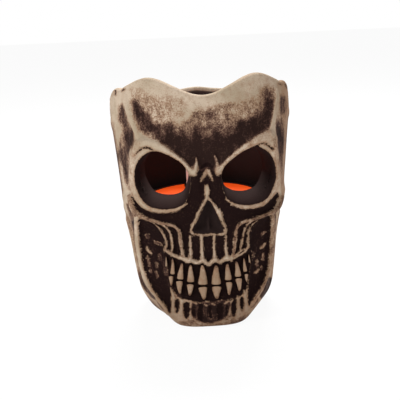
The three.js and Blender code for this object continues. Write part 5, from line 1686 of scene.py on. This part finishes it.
UPPER_TEETH = (
    Tooth((166.2, 257), (166.4, 266.4), 2.0), Tooth((172.8, 259), (172.6, 274), 4.4),
    Tooth((181.6, 263.6), (180.2, 279), 6.4), Tooth((190.8, 265.4), (190.6, 281.8), 7.2),
    Tooth((202.6, 265.6), (202.8, 284.4), 9.2), Tooth((215.6, 265.8), (216.4, 284.2), 9.4),
    Tooth((227.4, 264), (228.4, 279.8), 6.8), Tooth((236.4, 261.6), (238.2, 276.4), 6.2),
    Tooth((243.6, 258.4), (245.2, 271.4), 3.9), Tooth((248.8, 254.6), (249.6, 262.4), 1.9),
)
LOWER_TEETH = (
    Tooth((171.2, 285.6), (171, 276.4), 4.4), Tooth((179.8, 293.6), (179.4, 281.4), 6.6),
    Tooth((190.2, 295.6), (190.2, 284.6), 6.8), Tooth((203.8, 299.2), (202.8, 287.4), 8.6),
    Tooth((216.8, 298.6), (216.6, 286.8), 9.0), Tooth((229.4, 294.6), (229, 282.4), 6.2),
    Tooth((239.4, 290.6), (238.8, 278.6), 6.2), Tooth((246.6, 281.8), (246.4, 274.2), 3.6),
)


@dataclass
class TeethRow:
    """A row of separate teeth, set into the mouth's dark bed."""

    name: str
    teeth: tuple[Tooth, ...]
    proud: float = 0.0017
    bed: float = -0.0012
    sink: float = -0.0035
    along: Row = (-0.04, 0.0, 0.08, 0.17, 0.27, 0.38, 0.5, 0.62, 0.73, 0.83, 0.9, 0.95, 0.985, 1.0, 1.02)
    widths: Row = (0.1, 0.26, 0.4, 0.49, 0.57, 0.66, 0.76, 0.86, 0.94, 1.0, 1.03, 1.03, 1.0, 0.9, 0.8)
    heights: Row = (0.0, 0.25, 0.5, 0.68, 0.82, 0.93, 1.0, 1.03, 1.02, 0.97, 0.9, 0.78, 0.6, 0.3, 0.0)
    across: Row = (-1.1, -1.0, -0.9, -0.74, -0.5, -0.25, 0.0, 0.25, 0.5, 0.74, 0.9, 1.0, 1.1)
    crowns: Row = (0.0, 0.22, 0.55, 0.8, 0.94, 0.99, 1.0, 0.99, 0.94, 0.8, 0.55, 0.22, 0.0)
    crown_rise: float = 0.0012
    least_size: float = 0.45
    size_width: float = 12.0
    bow: float = 0.06
    bow_from: float = 0.5
    wobble: float = 0.05
    waves: float = 5.0
    phase: float = 2.1
    edges: Row = (0.72, 0.1, 0.97)
    steeps: Row = (9, 12, 60)
    ink_start: float = -2.0
    ink_most: float = 3.6
    # How brown the teeth are, in the value that carries the shell's painted shade
    neck_wash: Row = (0.5, 2.4, 0.1)
    age: float = 0.8

    def lay(self, tooth: Tooth, turn: float) -> tuple[list, list, list, list]:
        """Lay one tooth out in the front view.

        Args:
            tooth: The tooth.
            turn: Where its own slight bend starts.

        Returns:
            Places in the view, distances off the face's broad form, ink and wash.
        """
        neck, edge = np.array(tooth.neck), np.array(tooth.edge)
        way = (edge - neck) / np.linalg.norm(edge - neck)
        side = np.array([-way[1], way[0]])
        size = min(1.0, self.least_size + tooth.width / self.size_width)
        uv, stand, ink, wash = [], [], [], []
        for t, wide, high in zip(self.along, self.widths, self.heights):
            for i, crown in zip(self.across, self.crowns):
                bow = self.bow * tooth.width * (1 - i**2) * (t > self.bow_from)
                wobble = self.wobble * math.sin(self.waves * t + turn) * tooth.width
                uv.append(neck + (edge - neck) * t + way * bow
                          + side * (i * wide * tooth.width / 2 + wobble * (1 - t)))
                buried = crown == 0.0 or high == 0.0
                stand.append(self.sink if buried else self.bed + self.crown_rise * crown
                             + self.proud * size * crown * high)
                past = (abs(i) - self.edges[0], self.edges[1] - t, t - self.edges[2])
                rim = sum(max(gap, 0.0) * steep for gap, steep in zip(past, self.steeps))
                ink.append(min(rim, self.ink_most) + self.ink_start)
                most, fall, least = self.neck_wash
                wash.append(most * max(0.0, 1 - t * fall) + least)
        return uv, stand, ink, wash

    def build(self) -> Piece:
        """Build the row.

        Returns:
            The row's object.
        """
        points, faces, inks, washes = [], [], [], []
        rows, columns = len(self.along), len(self.across)
        for count, tooth in enumerate(self.teeth):
            uv, stand, ink, wash = self.lay(tooth, count * self.phase)
            start = len(points) * rows * columns
            points.append(on_face(np.array(uv), np.array(stand)))
            inks += ink
            washes += wash
            faces += list(map(tuple, grid_faces(rows, columns, start)[:, ::-1].tolist()))
        every = np.concatenate(points)
        return make_mesh(self.name, every, faces,
                         {"ink": np.array(inks), "wash": np.array(washes), "inside": np.zeros(len(every)),
                          "age": np.full(len(every), self.age)})


# Light parts

def revolve(name: str, profile: Points, place: Pair, steps: int = 72) -> Piece:
    """Turn a closed profile round an upright axis.

    Args:
        name: Name of the piece.
        profile: Radius and height of each corner.
        place: Where the axis stands.
        steps: Points round the axis.

    Returns:
        The new object.
    """
    turns = np.arange(steps) * 2 * math.pi / steps
    points = [(place[0] + radius * math.cos(a), place[1] + radius * math.sin(a), z)
              for radius, z in profile for a in turns]
    rings = [range(k * steps, (k + 1) * steps) for k in range(len(profile))]
    faces = [face for last, here in zip(rings, rings[1:] + rings[:1]) for face in ring_faces(last, here)]
    return make_mesh(name, np.array(points), faces)


@dataclass
class GlowDeck:
    """The glowing disc inside the bowl, with a bite for the pillar's collar."""

    bite_radius: float = 0.0148
    edge: float = 0.0005
    steps: int = 160
    bite_steps: int = 40
    top_share: float = 0.3

    def outline(self, radius: float, middle: float, pillar: float, inset: float) -> Array:
        """Outline of the disc with its bite, set in by a distance.

        Args:
            radius: The disc's radius.
            middle: The disc's centre along the depth.
            pillar: The bite's centre along the depth.
            inset: How far in.

        Returns:
            Points of the outline.
        """
        disc, bite = radius - inset, self.bite_radius + inset
        away = pillar - middle
        along = (disc**2 - bite**2 + away**2) / (2 * away)
        half = math.atan2(math.sqrt(disc**2 - along**2), along)
        turns = np.linspace(half, 2 * math.pi - half, self.steps)
        outer = np.stack([disc * np.sin(turns), middle + disc * np.cos(turns)], axis=-1)
        reach = math.atan2(disc * math.sin(half), away - along)
        turns = np.linspace(-reach, reach, self.bite_steps)[1:-1]
        inner = np.stack([bite * np.sin(turns), pillar - bite * np.cos(turns)], axis=-1)
        return np.concatenate([outer, inner])

    def build(self) -> Piece:
        """Build the disc.

        Returns:
            The disc's object.
        """
        low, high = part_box("glow_deck")
        radius, foot, top = (high[0] - low[0]) / 2, low[2], high[2]
        middle = low[1] + radius
        pillar_low, pillar_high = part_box("light_pillar")
        pillar = (pillar_low[1] + pillar_high[1]) / 2
        points, rings = [], []
        upper = self.edge * self.top_share
        for inset, z in ((self.edge, foot), (0, foot + self.edge), (0, top - self.edge),
                         (upper, top - upper), (self.edge, top)):
            line = self.outline(radius, middle, pillar, inset)
            rings.append(range(len(points), len(points) + len(line)))
            points += [(x, y, z) for x, y in line]
        faces = [face for last, here in zip(rings, rings[1:]) for face in ring_faces(last, here)]
        faces += [tuple(rings[0])[::-1], tuple(rings[-1])]
        piece = make_mesh("glow_disc", np.array(points), faces)
        for flat in piece.data.polygons[-2:]:
            flat.use_smooth = False
        return piece


@dataclass
class LightPillar:
    """The frosted cap over the rear lamp."""

    wall: float = 0.0016
    bead: float = 0.0004
    groove: Row = (0.006, 0.0066, 0.0074, 0.008)
    dome_end: float = 0.985
    dome_steps: int = 12

    def build(self) -> Piece:
        """Build the cap as a domed cup.

        Returns:
            The cap's object.
        """
        low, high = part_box("light_pillar")
        radius, foot, top = (high[0] - low[0]) / 2, low[2], high[2]
        place = ((low[0] + high[0]) / 2, (low[1] + high[1]) / 2)
        inside, waist = radius - self.wall, radius - self.bead
        turns = np.linspace(0, math.pi / 2 * self.dome_end, self.dome_steps)
        outer = [(radius * math.cos(a), top - radius / 2 + radius / 2 * math.sin(a)) for a in turns]
        inner = [(inside * math.cos(a), top - self.wall - inside / 2 + inside / 2 * math.sin(a))
                 for a in turns[::-1]]
        base = [(inside, foot), (waist, foot), (radius, foot + self.bead)]
        base += [(reach, foot + rise) for reach, rise in zip((radius, waist, waist, radius), self.groove)]
        return revolve("pillar_cap", base + outer + inner, place)


# Finishes

def colour(red: int, green: int, blue: int) -> Row:
    """Make a colour linear.

    Args:
        red: Screen value from 0 to 255.
        green: The same.
        blue: The same.

    Returns:
        Linear red, green, blue and full cover.
    """
    def line(value: int) -> float:
        """One linear channel."""
        share = value / 255
        return share / 12.92 if share <= 0.04045 else ((share + 0.055) / 1.055) ** 2.4
    return (line(red), line(green), line(blue), 1.0)


@dataclass
class NodeBoard:
    """A material's node tree with short ways to add to it."""

    name: str

    def __post_init__(self) -> None:
        """Start an empty tree with a surface shader."""
        self.material = bpy.data.materials.new(self.name)
        self.material.use_nodes = True
        self.tree = self.material.node_tree
        self.tree.nodes.clear()
        self.output = self.node("OutputMaterial")
        self.shader = self.node("BsdfPrincipled")
        self.link(self.shader.outputs[0], self.output.inputs["Surface"])

    def node(self, kind: str) -> bpy.types.Node:
        """Add a shader node."""
        return self.tree.nodes.new("ShaderNode" + kind)

    def link(self, start: Socket, end: Socket) -> None:
        """Join two sockets."""
        self.tree.links.new(start, end)

    def put(self, socket: Socket, value: object) -> None:
        """Set a socket.

        Args:
            socket: The socket.
            value: Its value, or the socket that feeds it.
        """
        if isinstance(value, Socket):
            self.link(value, socket)
        else:
            socket.default_value = value

    def set(self, name: str, value: object) -> None:
        """Set one of the shader's inputs."""
        self.put(self.shader.inputs[name], value)

    def attribute(self, name: str) -> Socket:
        """Read values kept on the piece's points.

        Args:
            name: Name of the values.

        Returns:
            The values.
        """
        node = self.node("Attribute")
        node.attribute_name = name
        return node.outputs["Fac"]

    def place(self) -> Socket:
        """Place on the piece, in metres."""
        return self.node("TexCoord").outputs["Object"]

    def noise(self, scale: float, detail: float = 3.0, rough: float = 0.55,
              stretch: Row = (1, 1, 1)) -> Socket:
        """Noise over the piece.

        Args:
            scale: Forms per metre.
            detail: Finer layers.
            rough: Strength of the finer layers.
            stretch: How much each axis is squeezed.

        Returns:
            Its value.
        """
        node = self.node("TexNoise")
        node.inputs["Scale"].default_value = scale
        node.inputs["Detail"].default_value = detail
        node.inputs["Roughness"].default_value = rough
        mapping = self.node("Mapping")
        mapping.inputs["Scale"].default_value = stretch
        self.link(self.place(), mapping.inputs["Vector"])
        self.link(mapping.outputs[0], node.inputs["Vector"])
        return node.outputs["Fac"]

    def math(self, kind: str, first: object, second: object = 0.0) -> Socket:
        """One sum over two values.

        Args:
            kind: Kind of sum.
            first: First value.
            second: Second value.

        Returns:
            The result.
        """
        node = self.node("Math")
        node.operation = kind
        self.put(node.inputs[0], first)
        self.put(node.inputs[1], second)
        return node.outputs[0]

    def ramp(self, value: object, low: float, high: float, start: float = 0.0,
             end: float = 1.0) -> Socket:
        """Smooth rise between two values.

        Args:
            value: What is mapped.
            low: Where it starts.
            high: Where it ends.
            start: Result at the start.
            end: Result at the end.

        Returns:
            The mapped value.
        """
        node = self.node("MapRange")
        node.interpolation_type = "SMOOTHSTEP"
        for socket, setting in zip(node.inputs[:5], (value, low, high, start, end)):
            self.put(socket, setting)
        return node.outputs[0]

    def mix(self, share: object, first: object, second: object) -> Socket:
        """Mix of two colours.

        Args:
            share: How much of the second.
            first: First colour.
            second: Second colour.

        Returns:
            The mixed colour.
        """
        node = self.node("Mix")
        node.data_type = "RGBA"
        self.put(node.inputs["Factor"], share)
        self.put(node.inputs[6], first)
        self.put(node.inputs[7], second)
        return node.outputs[2]

    def bump(self, height: object, strength: float, distance: float) -> None:
        """Give the shader a bump.

        Args:
            height: Height of the surface.
            strength: How strongly it shows.
            distance: Full height in metres.
        """
        node = self.node("Bump")
        node.inputs["Strength"].default_value = strength
        node.inputs["Distance"].default_value = distance
        self.put(node.inputs["Height"], height)
        self.link(node.outputs[0], self.shader.inputs["Normal"])


@dataclass(frozen=True)
class Coat:
    """One coat of paint, laid on where a value rises from low to high, and the most of it."""

    low: float
    high: float
    most: float = 1.0


@dataclass(frozen=True)
class AgedBone:
    """Painted bone with dark paint in the hollows and a speckled brown wash."""

    light: Row = colour(190, 172, 152)
    shade: Row = colour(164, 148, 126)
    stain: Row = colour(141, 108, 83)
    wash: Row = colour(84, 60, 52)
    dark: Row = colour(30, 19, 18)
    deep: Row = colour(54, 43, 41)
    clouds: Coat = Coat(0.36, 0.66)
    blotches: Coat = Coat(0.48, 0.8, 0.4)
    # Brown tint with painted shade at the foot and on the side away from the key lamp
    brown_and_shade_coat: Coat = Coat(0.1, 1.1, 0.8)
    specks: Coat = Coat(0.48, 0.72, 0.42)
    ink_rims: Coat = Coat(-2.3, 0.35, 0.85)
    thin_wash: Coat = Coat(0.08, 0.46, 0.75)
    full_wash: Coat = Coat(0.3, 0.84, 0.95)
    thick_wash: Coat = Coat(0.62, 1.2, 0.9)
    worn_ink: Coat = Coat(0.3, 0.9, 0.62)
    dust_and_glints: Coat = Coat(0.6, 0.78, 0.3)
    noises: Points = ((34, 3), (210, 4), (560, 4), (1050, 4))
    streaks: tuple = (190, 3, 0.6, (1, 1, 0.3))
    brown_and_shade_swing: float = 0.8
    edge_swings: Row = (5.0, 2.6, 4.6)
    edge_reach: Row = (-1.0, 0.6, 0.3, 1.0)
    grain_swings: Row = (0.8, 0.7, 1.3, 1.1)
    grain_reach: Row = (0.0, 0.5, 0.15, 1.0)
    ink_edge: Pair = (-0.4, 0.5)
    worn_swing: float = 1.4
    brown_end: Row = (0.7, 0.9, 1.0, 0.0)
    wet_reach: Pair = (0.2, 1.6)
    matt_inside: float = 4.0
    matt_ink: float = 0.75
    bump_swings: Pair = (0.5, 0.9)
    bump: Pair = (0.45, 0.0006)
    roughness: float = 0.62
    ink_roughness: float = 0.44
    shine: float = 0.012

    def material(self) -> bpy.types.Material:
        """Build the material.

        Returns:
            The new material.
        """
        board = NodeBoard("aged_bone")
        ink, wash, inside, age = (board.attribute(name) for name in ("ink", "wash", "inside", "age"))
        cloud, blotch, speck, fine = (board.noise(scale, detail) for scale, detail in self.noises)
        streak = board.noise(*self.streaks)

        def swing(value: Socket, size: float) -> Socket:
            """Noise made to swing about zero."""
            return board.math("MULTIPLY", board.math("SUBTRACT", value, 0.5), size)

        def total(first: object, *others: object) -> Socket:
            """Sum of several values.

            Args:
                first: First value.
                others: The rest.

            Returns:
                The sum.
            """
            for other in others:
                first = board.math("ADD", first, other)
            return first

        def share(value: object, coat: Coat) -> Socket:
            """How much of a coat lies where a value has this size."""
            return board.ramp(value, coat.low, coat.high, 0.0, coat.most)

        def lay(under: object, over: object, value: object, coat: Coat) -> Socket:
            """Colour with a coat of another laid over it."""
            return board.mix(share(value, coat), under, over)

        bone = lay(self.light, self.shade, cloud, self.clouds)
        bone = lay(bone, self.stain, blotch, self.blotches)
        # Brown tint with painted shade: the bone darkens towards the foot and on the side away from the key
        # lamp
        bone = lay(bone, self.stain, total(age, swing(blotch, self.brown_and_shade_swing)), self.brown_and_shade_coat)
        bone = lay(bone, self.stain, fine, self.specks)
        rough = total(*map(swing, (speck, blotch, fine), self.edge_swings))
        edge = total(ink, board.math("MULTIPLY", rough, board.ramp(ink, *self.edge_reach)))
        bone = lay(bone, self.stain, edge, self.ink_rims)
        grain = total(*map(swing, (speck, blotch, fine, streak), self.grain_swings))
        density = total(wash, board.math("MULTIPLY", grain, board.ramp(wash, *self.grain_reach)))
        painted = lay(bone, self.stain, density, self.thin_wash)
        painted = lay(painted, self.wash, density, self.full_wash)
        painted = lay(painted, self.dark, density, self.thick_wash)
        inked = board.ramp(edge, *self.ink_edge)
        worn = share(total(density, swing(speck, self.worn_swing)), self.worn_ink)
        brown = board.math("MULTIPLY", worn, board.ramp(wash, *self.brown_end))
        painted = board.mix(inked, painted, board.mix(brown, self.dark, self.wash))
        # Fine flecks in the stain colour: brown dust on the bone, and on the dark paint, painted glints of
        # grain catching the light
        painted = lay(painted, self.stain, fine, self.dust_and_glints)
        board.set("Base Color", board.mix(inside, painted, self.deep))
        wet = total(inked, blotch)
        board.set("Roughness", board.ramp(wet, *self.wet_reach, self.roughness, self.ink_roughness))
        hidden = board.math("MULTIPLY", inside, self.matt_inside)
        covered = board.math("MULTIPLY", inked, self.matt_ink)
        matt = board.math("MAXIMUM", hidden, covered)
        board.set("Specular IOR Level", board.ramp(matt, 0.0, 1.0, self.shine, 0.0))
        board.bump(total(*map(swing, (fine, speck), self.bump_swings)), *self.bump)
        return board.material


@dataclass(frozen=True)
class Plastic:
    """Moulded plastic with a fine spark-eroded grain."""

    name: str
    tone: Row
    worn: Row
    roughness: float = 0.5
    grain: float = 2200
    glow: float = 0.0
    clear: float = 0.0
    metal: float = 0.0
    clouds: Pair = (90, 4)
    cloud_edge: Pair = (0.35, 0.75)
    rough_edge: Pair = (0.2, 0.8)
    rough_swing: Pair = (-0.06, 0.08)
    bump: Pair = (0.18, 0.0002)

    def material(self) -> bpy.types.Material:
        """Build the material.

        Returns:
            The new material.
        """
        board = NodeBoard(self.name)
        cloud, grain = board.noise(*self.clouds), board.noise(self.grain, 2)
        tone = board.mix(board.ramp(cloud, *self.cloud_edge), self.tone, self.worn)
        board.set("Base Color", tone)
        matt = [self.roughness + swing for swing in self.rough_swing]
        board.set("Roughness", board.ramp(cloud, *self.rough_edge, *matt))
        board.set("Metallic", self.metal)
        board.set("Transmission Weight", self.clear)
        if self.glow:
            board.set("Emission Color", tone)
            board.set("Emission Strength", self.glow)
        board.bump(grain, *self.bump)
        return board.material


@dataclass(frozen=True)
class BrushedSteel:
    """Plated steel with fine lines and faint spotting."""

    name: str = "plated_steel"
    tone: Row = colour(186, 187, 190)
    dull: Row = colour(128, 124, 118)
    brushing: tuple = (900, 2, 0.5, (1, 1, 9))
    spotting: Pair = (260, 4)
    spot_edge: Pair = (0.5, 0.8)
    roughness: Row = (0.3, 0.7, 0.26, 0.44)
    bump: Pair = (0.12, 0.0001)

    def material(self) -> bpy.types.Material:
        """Build the material.

        Returns:
            The new material.
        """
        board = NodeBoard(self.name)
        lines, spots = board.noise(*self.brushing), board.noise(*self.spotting)
        board.set("Base Color", board.mix(board.ramp(spots, *self.spot_edge), self.tone, self.dull))
        board.set("Roughness", board.ramp(lines, *self.roughness))
        board.set("Metallic", 1.0)
        board.bump(lines, *self.bump)
        return board.material


class Tone(Enum):
    """Finishes of the parts that keep their CAD form."""

    BLACK = Plastic("black_plastic", colour(30, 26, 25), colour(44, 39, 37), 0.52)
    SWITCH = Plastic("switch_grey", colour(64, 62, 61), colour(82, 79, 77), 0.45)
    GLOW = Plastic("glow_plastic", colour(255, 92, 26), colour(246, 80, 20), 0.5, 1500, 0.56)
    FROSTED = Plastic("frosted_plastic", colour(232, 206, 196), colour(214, 180, 166), 0.48, 1800, 0.4)
    LAMP = Plastic("lamp_clear", colour(244, 238, 224), colour(230, 222, 204), 0.12, 400, 0.1, 0.5)
    CIRCUIT = Plastic("circuit_green", colour(44, 88, 58), colour(30, 66, 44), 0.4, 900)
    CELL = Plastic("cell_wrap", colour(58, 60, 66), colour(84, 82, 78), 0.32, 700, 0.0, 0.0, 0.3)
    RUBBER = Plastic("pad_rubber", colour(38, 36, 35), colour(56, 52, 50), 0.85, 1300)
    RED = Plastic("red_lead", colour(176, 34, 28), colour(146, 26, 24), 0.42)
    DARK_LEAD = Plastic("black_lead", colour(26, 25, 26), colour(40, 38, 38), 0.42)
    STEEL = BrushedSteel()


NODE_TONES: tuple[tuple[str, Tone], ...] = (
    ("base_plate", Tone.BLACK), ("battery_door", Tone.BLACK), ("hinge_pin", Tone.STEEL),
    ("base_screw", Tone.STEEL), ("foot_pad", Tone.RUBBER), ("battery_", Tone.CELL),
    ("contact_", Tone.STEEL), ("switch_body", Tone.SWITCH), ("switch_slider", Tone.SWITCH),
    ("lamp_tray", Tone.BLACK), ("led_board", Tone.CIRCUIT), ("pillar_board", Tone.CIRCUIT),
    ("pillar_led", Tone.LAMP), ("led_", Tone.LAMP), ("tray_screw", Tone.STEEL),
    ("board_screw", Tone.STEEL), ("lead_battery", Tone.RED), ("lead_pillar", Tone.RED),
    ("lead_", Tone.DARK_LEAD),
)


def dress_cad(replaced: set[str]) -> None:
    """Give every CAD node that still shows its finish.

    Args:
        replaced: Names of the nodes that other pieces stand for.
    """
    made: dict[Tone, bpy.types.Material] = {}
    for name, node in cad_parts.items():
        if name in replaced:
            continue
        tone = next(tone for start, tone in NODE_TONES if name.startswith(start))
        if tone not in made:
            made[tone] = tone.value.material()
        for slot in node.material_slots:
            slot.material = made[tone]
        LOG.info("%s keeps its form, in %s", name, tone.name.lower())


# Studio

@dataclass
class Studio:
    """Floor, lights, surroundings and camera."""

    floor_size: float = 6.0
    floor_tone: Row = (0.96, 0.96, 0.96, 1)
    floor_roughness: float = 0.9
    floor_white: float = 0.93
    white: Row = (1, 1, 1, 1)
    surround: float = 0.42
    aim: Row = (0, 0, 0.1)
    lamps: tuple[tuple, ...] = (("key", (-0.75, -0.8, 0.8), 0.5, 8.8), ("fill", (0.8, -0.7, 0.45), 0.7, 1.0),
                                ("back", (0.1, 0.6, 1.05), 0.6, 20.0))

    def floor(self) -> None:
        """Lay a plain pale floor that keeps the shadow."""
        half = self.floor_size / 2
        corners = np.array([(-half, -half, 0), (half, -half, 0), (half, half, 0), (-half, half, 0)])
        floor = make_mesh("floor", corners, [(0, 1, 2, 3)], None, False)
        board = NodeBoard("pale_floor")
        board.set("Base Color", self.floor_tone)
        board.set("Roughness", self.floor_roughness)
        board.set("Specular IOR Level", 0.0)
        white, path, blend = (board.node(kind) for kind in ("Emission", "LightPath", "MixShader"))
        seen = board.math("MAXIMUM", path.outputs["Is Camera Ray"], path.outputs["Is Glossy Ray"])
        seen = board.math("MAXIMUM", seen, path.outputs["Is Transmission Ray"])
        board.link(board.math("MULTIPLY", seen, self.floor_white), blend.inputs[0])
        board.link(board.shader.outputs[0], blend.inputs[1])
        board.link(white.outputs[0], blend.inputs[2])
        board.link(blend.outputs[0], board.output.inputs["Surface"])
        floor.data.materials.append(board.material)

    def surroundings(self) -> None:
        """Light the scene evenly and show white behind it."""
        world = bpy.data.worlds.new("studio")
        world.use_nodes = True
        tree = world.node_tree
        tree.nodes.clear()
        output = tree.nodes.new("ShaderNodeOutputWorld")
        path, blend = tree.nodes.new("ShaderNodeLightPath"), tree.nodes.new("ShaderNodeMixShader")
        tree.links.new(path.outputs["Is Camera Ray"], blend.inputs[0])
        for strength, place in ((self.surround, 1), (1.0, 2)):
            light = tree.nodes.new("ShaderNodeBackground")
            light.inputs["Color"].default_value = self.white
            light.inputs["Strength"].default_value = strength
            tree.links.new(light.outputs[0], blend.inputs[place])
        tree.links.new(blend.outputs[0], output.inputs["Surface"])
        bpy.context.scene.world = world

    def lamp(self, name: str, place: Row, size: float, power: float) -> None:
        """Hang a soft square lamp that faces the object.

        Args:
            name: Name of the lamp.
            place: Where it hangs.
            size: Its side.
            power: Its power in watts.
        """
        data = bpy.data.lights.new(name, "AREA")
        data.size, data.energy = size, power
        lamp = bpy.data.objects.new(name, data)
        lamp.location = place
        away = Vector(self.aim) - Vector(place)
        lamp.rotation_euler = away.to_track_quat("-Z", "Y").to_euler()
        bpy.context.collection.objects.link(lamp)

    def camera(self) -> None:
        """Stand the camera at the front view."""
        data = bpy.data.cameras.new("camera")
        data.sensor_width = 36.0
        data.lens = VIEW.focal * data.sensor_width / VIEW.width
        data.shift_x = (VIEW.width / 2 - VIEW.middle[0]) / VIEW.width
        data.shift_y = (VIEW.middle[1] - VIEW.width / 2) / VIEW.width
        camera = bpy.data.objects.new("camera", data)
        right, up, back = VIEW.axes()
        turn = Matrix((right, up, back)).transposed().to_4x4()
        camera.matrix_world = Matrix.Translation(Vector(VIEW.place())) @ turn
        bpy.context.collection.objects.link(camera)
        bpy.context.scene.camera = camera

    def build(self) -> None:
        """Set up the whole studio."""
        self.camera()
        self.floor()
        self.surroundings()
        for name, place, size, power in self.lamps:
            self.lamp(name, place, size, power)
        bpy.context.scene.view_settings.view_transform = "Standard"


def attach(piece: Piece, finish: bpy.types.Material, slot: str, *nodes: str) -> None:
    """Dress a piece and tie it to the frame.

    Args:
        piece: The piece.
        finish: Its material.
        slot: Name of the slot for that finish, which is only logged.
        nodes: CAD nodes that it stands for.
    """
    piece.data.materials.append(finish)
    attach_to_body(piece, "root")
    if nodes:
        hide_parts(*nodes)
    LOG.info("%s: %d faces, in %s", piece.name, len(piece.data.polygons), slot)


def main() -> None:
    """Build every piece, dress the frame and set up the studio."""
    studio = Studio()
    studio.build()
    bone = AgedBone().material()
    attach(FaceShell().build(), bone, "bone", "face_shell")
    attach(RearShell().build(), bone, "bone", "rear_shell")
    attach(TeethRow("upper_teeth", UPPER_TEETH).build(), bone, "bone")
    attach(TeethRow("lower_teeth", LOWER_TEETH).build(), bone, "bone")
    attach(GlowDeck().build(), Tone.GLOW.value.material(), "orange_plastic", "glow_deck")
    attach(LightPillar().build(), Tone.FROSTED.value.material(), "frosted", "light_pillar")
    dress_cad({"face_shell", "rear_shell", "glow_deck", "light_pillar"})


if __name__ == "__main__":
    main()
